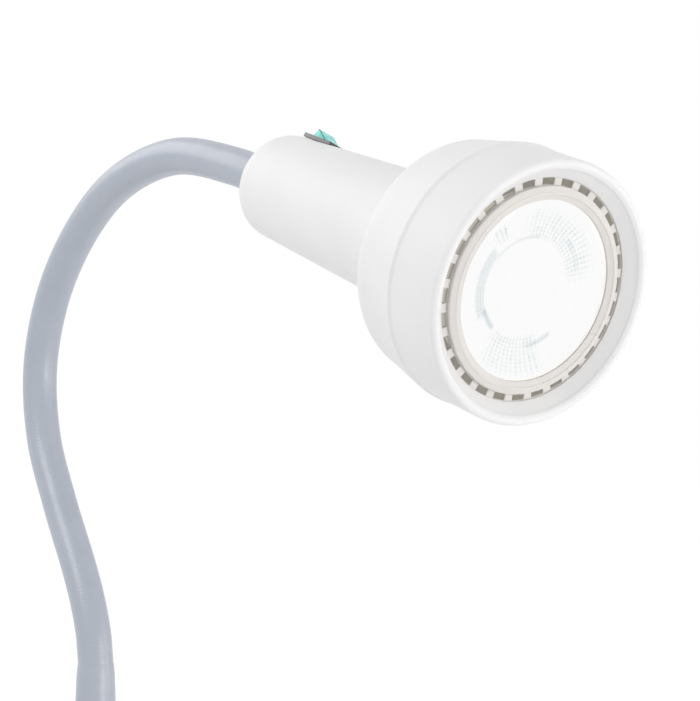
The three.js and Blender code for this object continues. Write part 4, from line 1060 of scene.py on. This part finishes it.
def sliding_bar():
    """The bar that turns the spindle, with a rubber cap on each end."""
    rod = new_object("sliding_bar", turned_to(cylinder(2.5, -31, 31, 40, 0.4), BAR_AXIS))
    finished(rod, "steel", "bar", "tommy_bar")
    for side, name in ((1, "right"), (-1, "left")):
        profile = rounded([(0, 31.3), (2.8, 31.3), (2.8, 27), (4.1, 27, 0.6), (4.5, 29, 0.5), (4.3, 32, 1.2),
                           (3.4, 33.3, 0.8), (0, 33.4)], closed=False)
        turn = BAR_AXIS @ Matrix.Rotation(0 if side > 0 else math.pi, 4, "X")
        cap = new_object(f"bar_end_{name}", turned_to(revolve(profile, 40), turn))
        finished(cap, "rubber", "bar", f"bar_cap_{name}")


def pressure_pad():
    """The round pad on the spindle's tip."""
    profile = rounded([(0, -34), (14, -34, 1.2), (14, -37.2, 0.6), (8, -40, 0.5), (4.8, -40), (4.8, -36.5),
                       (0, -36.5)], closed=False)
    pad = new_object("pad_bottom", turned_to(revolve(profile, 72), SPINDLE_AXIS))
    finished(pad, "steel", "pad", "pressure_pad")


KNOB_FLUTES = 8
FLUTE_DEPTH = 1.3
FLUTED_FROM_R = 7


def fluted(r, z, angle):
    """The knob's radius, with shallow flutes in its grip."""
    if r < FLUTED_FROM_R:
        return r
    return r - FLUTE_DEPTH * max(0.0, math.cos(KNOB_FLUTES * angle)) ** 2


def locking_screw():
    """The screw that holds the column, with its knob."""
    start, end = 18.5, 27.5
    profile = rounded([
        (0, 7.3), (2.6, 7.3), (3, 7.9), (3, start), (6, start, 0.5), (9.5, start + 1.6, 1),
        (9.5, end, 1.4), (4.5, end, 0.6), (4, end - 0.6), (0, end - 0.6),
    ], closed=False)
    shape = turned_to(revolve(profile, 160, wave=fluted), LOCK_AXIS)
    finished(new_object("lock_knob", shape, sharp=50), "dark_plastic", "lock", "locking_screw")


def cable_gland():
    """The rubber gland in the clamp's back."""
    profile = rounded([
        (2.5, 27.3), (4.2, 27.3), (4.2, 36.3), (6.8, 36.3, 0.4), (6.2, 38.8, 0.8), (3.6, 38.8, 0.4),
        (2.5, 38.2),
    ], 4)
    gland = new_object("gland", turned_to(revolve(profile, 48), GLAND_AXIS))
    finished(gland, "rubber", "clamp", "cable_gland")


# ---------------------------------------------------------------- shown CAD nodes


def finish_cad_nodes():
    """Every CAD node that still shows gets the look of its slot."""
    slots = {row["node"]: row["material_slot"] for row in frame["record"]["subparts"]}
    looks = {"led": "optic", "reflector_mirror": "optic"}
    for name, obj in frame["nodes"].items():
        if obj.hide_render:
            continue
        slot = slots[name]
        obj.data.materials.clear()
        obj.data.materials.append(LOOKS[looks.get(slot, slot)])


# ---------------------------------------------------------------- stage and light


def seen_as(tree, surface, seen_surface):
    """One surface for the light, and another wherever the camera, a reflection or glass sees it."""
    path = tree.nodes.new("ShaderNodeLightPath")
    seen = path.outputs["Is Camera Ray"]
    for name in ("Is Glossy Ray", "Is Transmission Ray"):
        both = tree.nodes.new("ShaderNodeMath")
        both.operation = "MAXIMUM"
        tree.links.new(seen, both.inputs[0])
        tree.links.new(path.outputs[name], both.inputs[1])
        seen = both.outputs[0]
    mix = tree.nodes.new("ShaderNodeMixShader")
    tree.links.new(seen, mix.inputs["Fac"])
    tree.links.new(surface, mix.inputs[1])
    tree.links.new(seen_surface, mix.inputs[2])
    return mix.outputs[0]


WORLD_LIGHT = 0.66
FLOOR_GLOW = 0.8  # with the light on it, an unshaded floor comes out white
FLOOR_GREY = 0.32
FLOOR_ROOM = 26  # millimetres below the lamp, for the clamp screw to travel down
FLOOR_HALF = 40000  # half of its width, in millimetres


def make_world():
    """An even light all round, and a white background."""
    world = bpy.data.worlds.new("world")
    world.use_nodes = True
    bpy.context.scene.world = world
    tree = world.node_tree
    light = tree.nodes["Background"]
    light.inputs["Color"].default_value = (1, 1, 1, 1)
    light.inputs["Strength"].default_value = WORLD_LIGHT
    white = tree.nodes.new("ShaderNodeBackground")
    white.inputs["Color"].default_value = (1, 1, 1, 1)
    white.inputs["Strength"].default_value = 1.0
    mixed = seen_as(tree, light.outputs[0], white.outputs[0])
    tree.links.new(mixed, tree.nodes["World Output"].inputs["Surface"])


def make_floor():
    """A plain floor for the light, that looks white with a soft shadow on it."""
    shape = bmesh.new()
    bmesh.ops.create_grid(shape, x_segments=1, y_segments=1, size=FLOOR_HALF)
    low = CAD_BOX[0].z * 1000 - FLOOR_ROOM
    floor = new_object("floor", turned_to(shape, Matrix.Translation((0, 0, low))))
    material = principled("floor", (0.93, 0.93, 0.93), 0.9)
    tree = material.node_tree
    plain = tree.nodes["Principled BSDF"].outputs[0]
    glow = tree.nodes.new("ShaderNodeEmission")
    glow.inputs["Strength"].default_value = FLOOR_GLOW
    grey = tree.nodes.new("ShaderNodeBsdfDiffuse")
    grey.inputs["Color"].default_value = (FLOOR_GREY, FLOOR_GREY, FLOOR_GREY, 1)
    both = tree.nodes.new("ShaderNodeAddShader")
    tree.links.new(glow.outputs[0], both.inputs[0])
    tree.links.new(grey.outputs[0], both.inputs[1])
    mixed = seen_as(tree, plain, both.outputs[0])
    tree.links.new(mixed, tree.nodes["Material Output"].inputs["Surface"])
    floor.data.materials.append(material)


def make_lamp(name, location, aim, size, energy, colour=(1, 1, 1)):
    """A round lamp of the stage, with its width in metres and its energy in watts."""
    data = bpy.data.lights.new(name, "AREA")
    data.shape = "DISK"
    data.size = size
    data.energy = energy
    data.color = colour
    lamp = bpy.data.objects.new(name, data)
    bpy.context.scene.collection.objects.link(lamp)
    lamp.location = location
    lamp.rotation_mode = "QUATERNION"
    lamp.rotation_quaternion = (Vector(aim) - Vector(location)).to_track_quat("-Z", "Y")


def make_stage():
    """White surroundings, and four lamps: above the near side, ahead, above the arm, on the far side."""
    bpy.context.scene.view_settings.view_transform = "Standard"
    make_world()
    make_floor()
    make_lamp("key", (0.2, -1.6, 1.6), aim=(0.1, 0, 0.3), size=1.2, energy=10)
    make_lamp("front", (1.9, 0.5, 0.0), aim=(0.39, 0, 0.31), size=1.0, energy=12, colour=(1, 0.975, 0.945))
    make_lamp("top", (-1.3, -0.7, 1.5), aim=(0.1, 0, 0.4), size=1.5, energy=8)
    make_lamp("side", (1.2, 1.5, 0.3), aim=(0, 0, 0.25), size=0.9, energy=3)


make_camera()
front_shroud()
vent_ring()
housing_upper()
housing_lower()
housing_screws()
lamp_ring()
lamp_lens()
lamp_optic()
light_disc()
switch()
rocker()
arm()
arm_cuff()
foot_sleeve()
column_tube()
clamp_body()
jaw_pad()
spindle()
sliding_bar()
pressure_pad()
locking_screw()
cable_gland()
finish_cad_nodes()
make_stage()
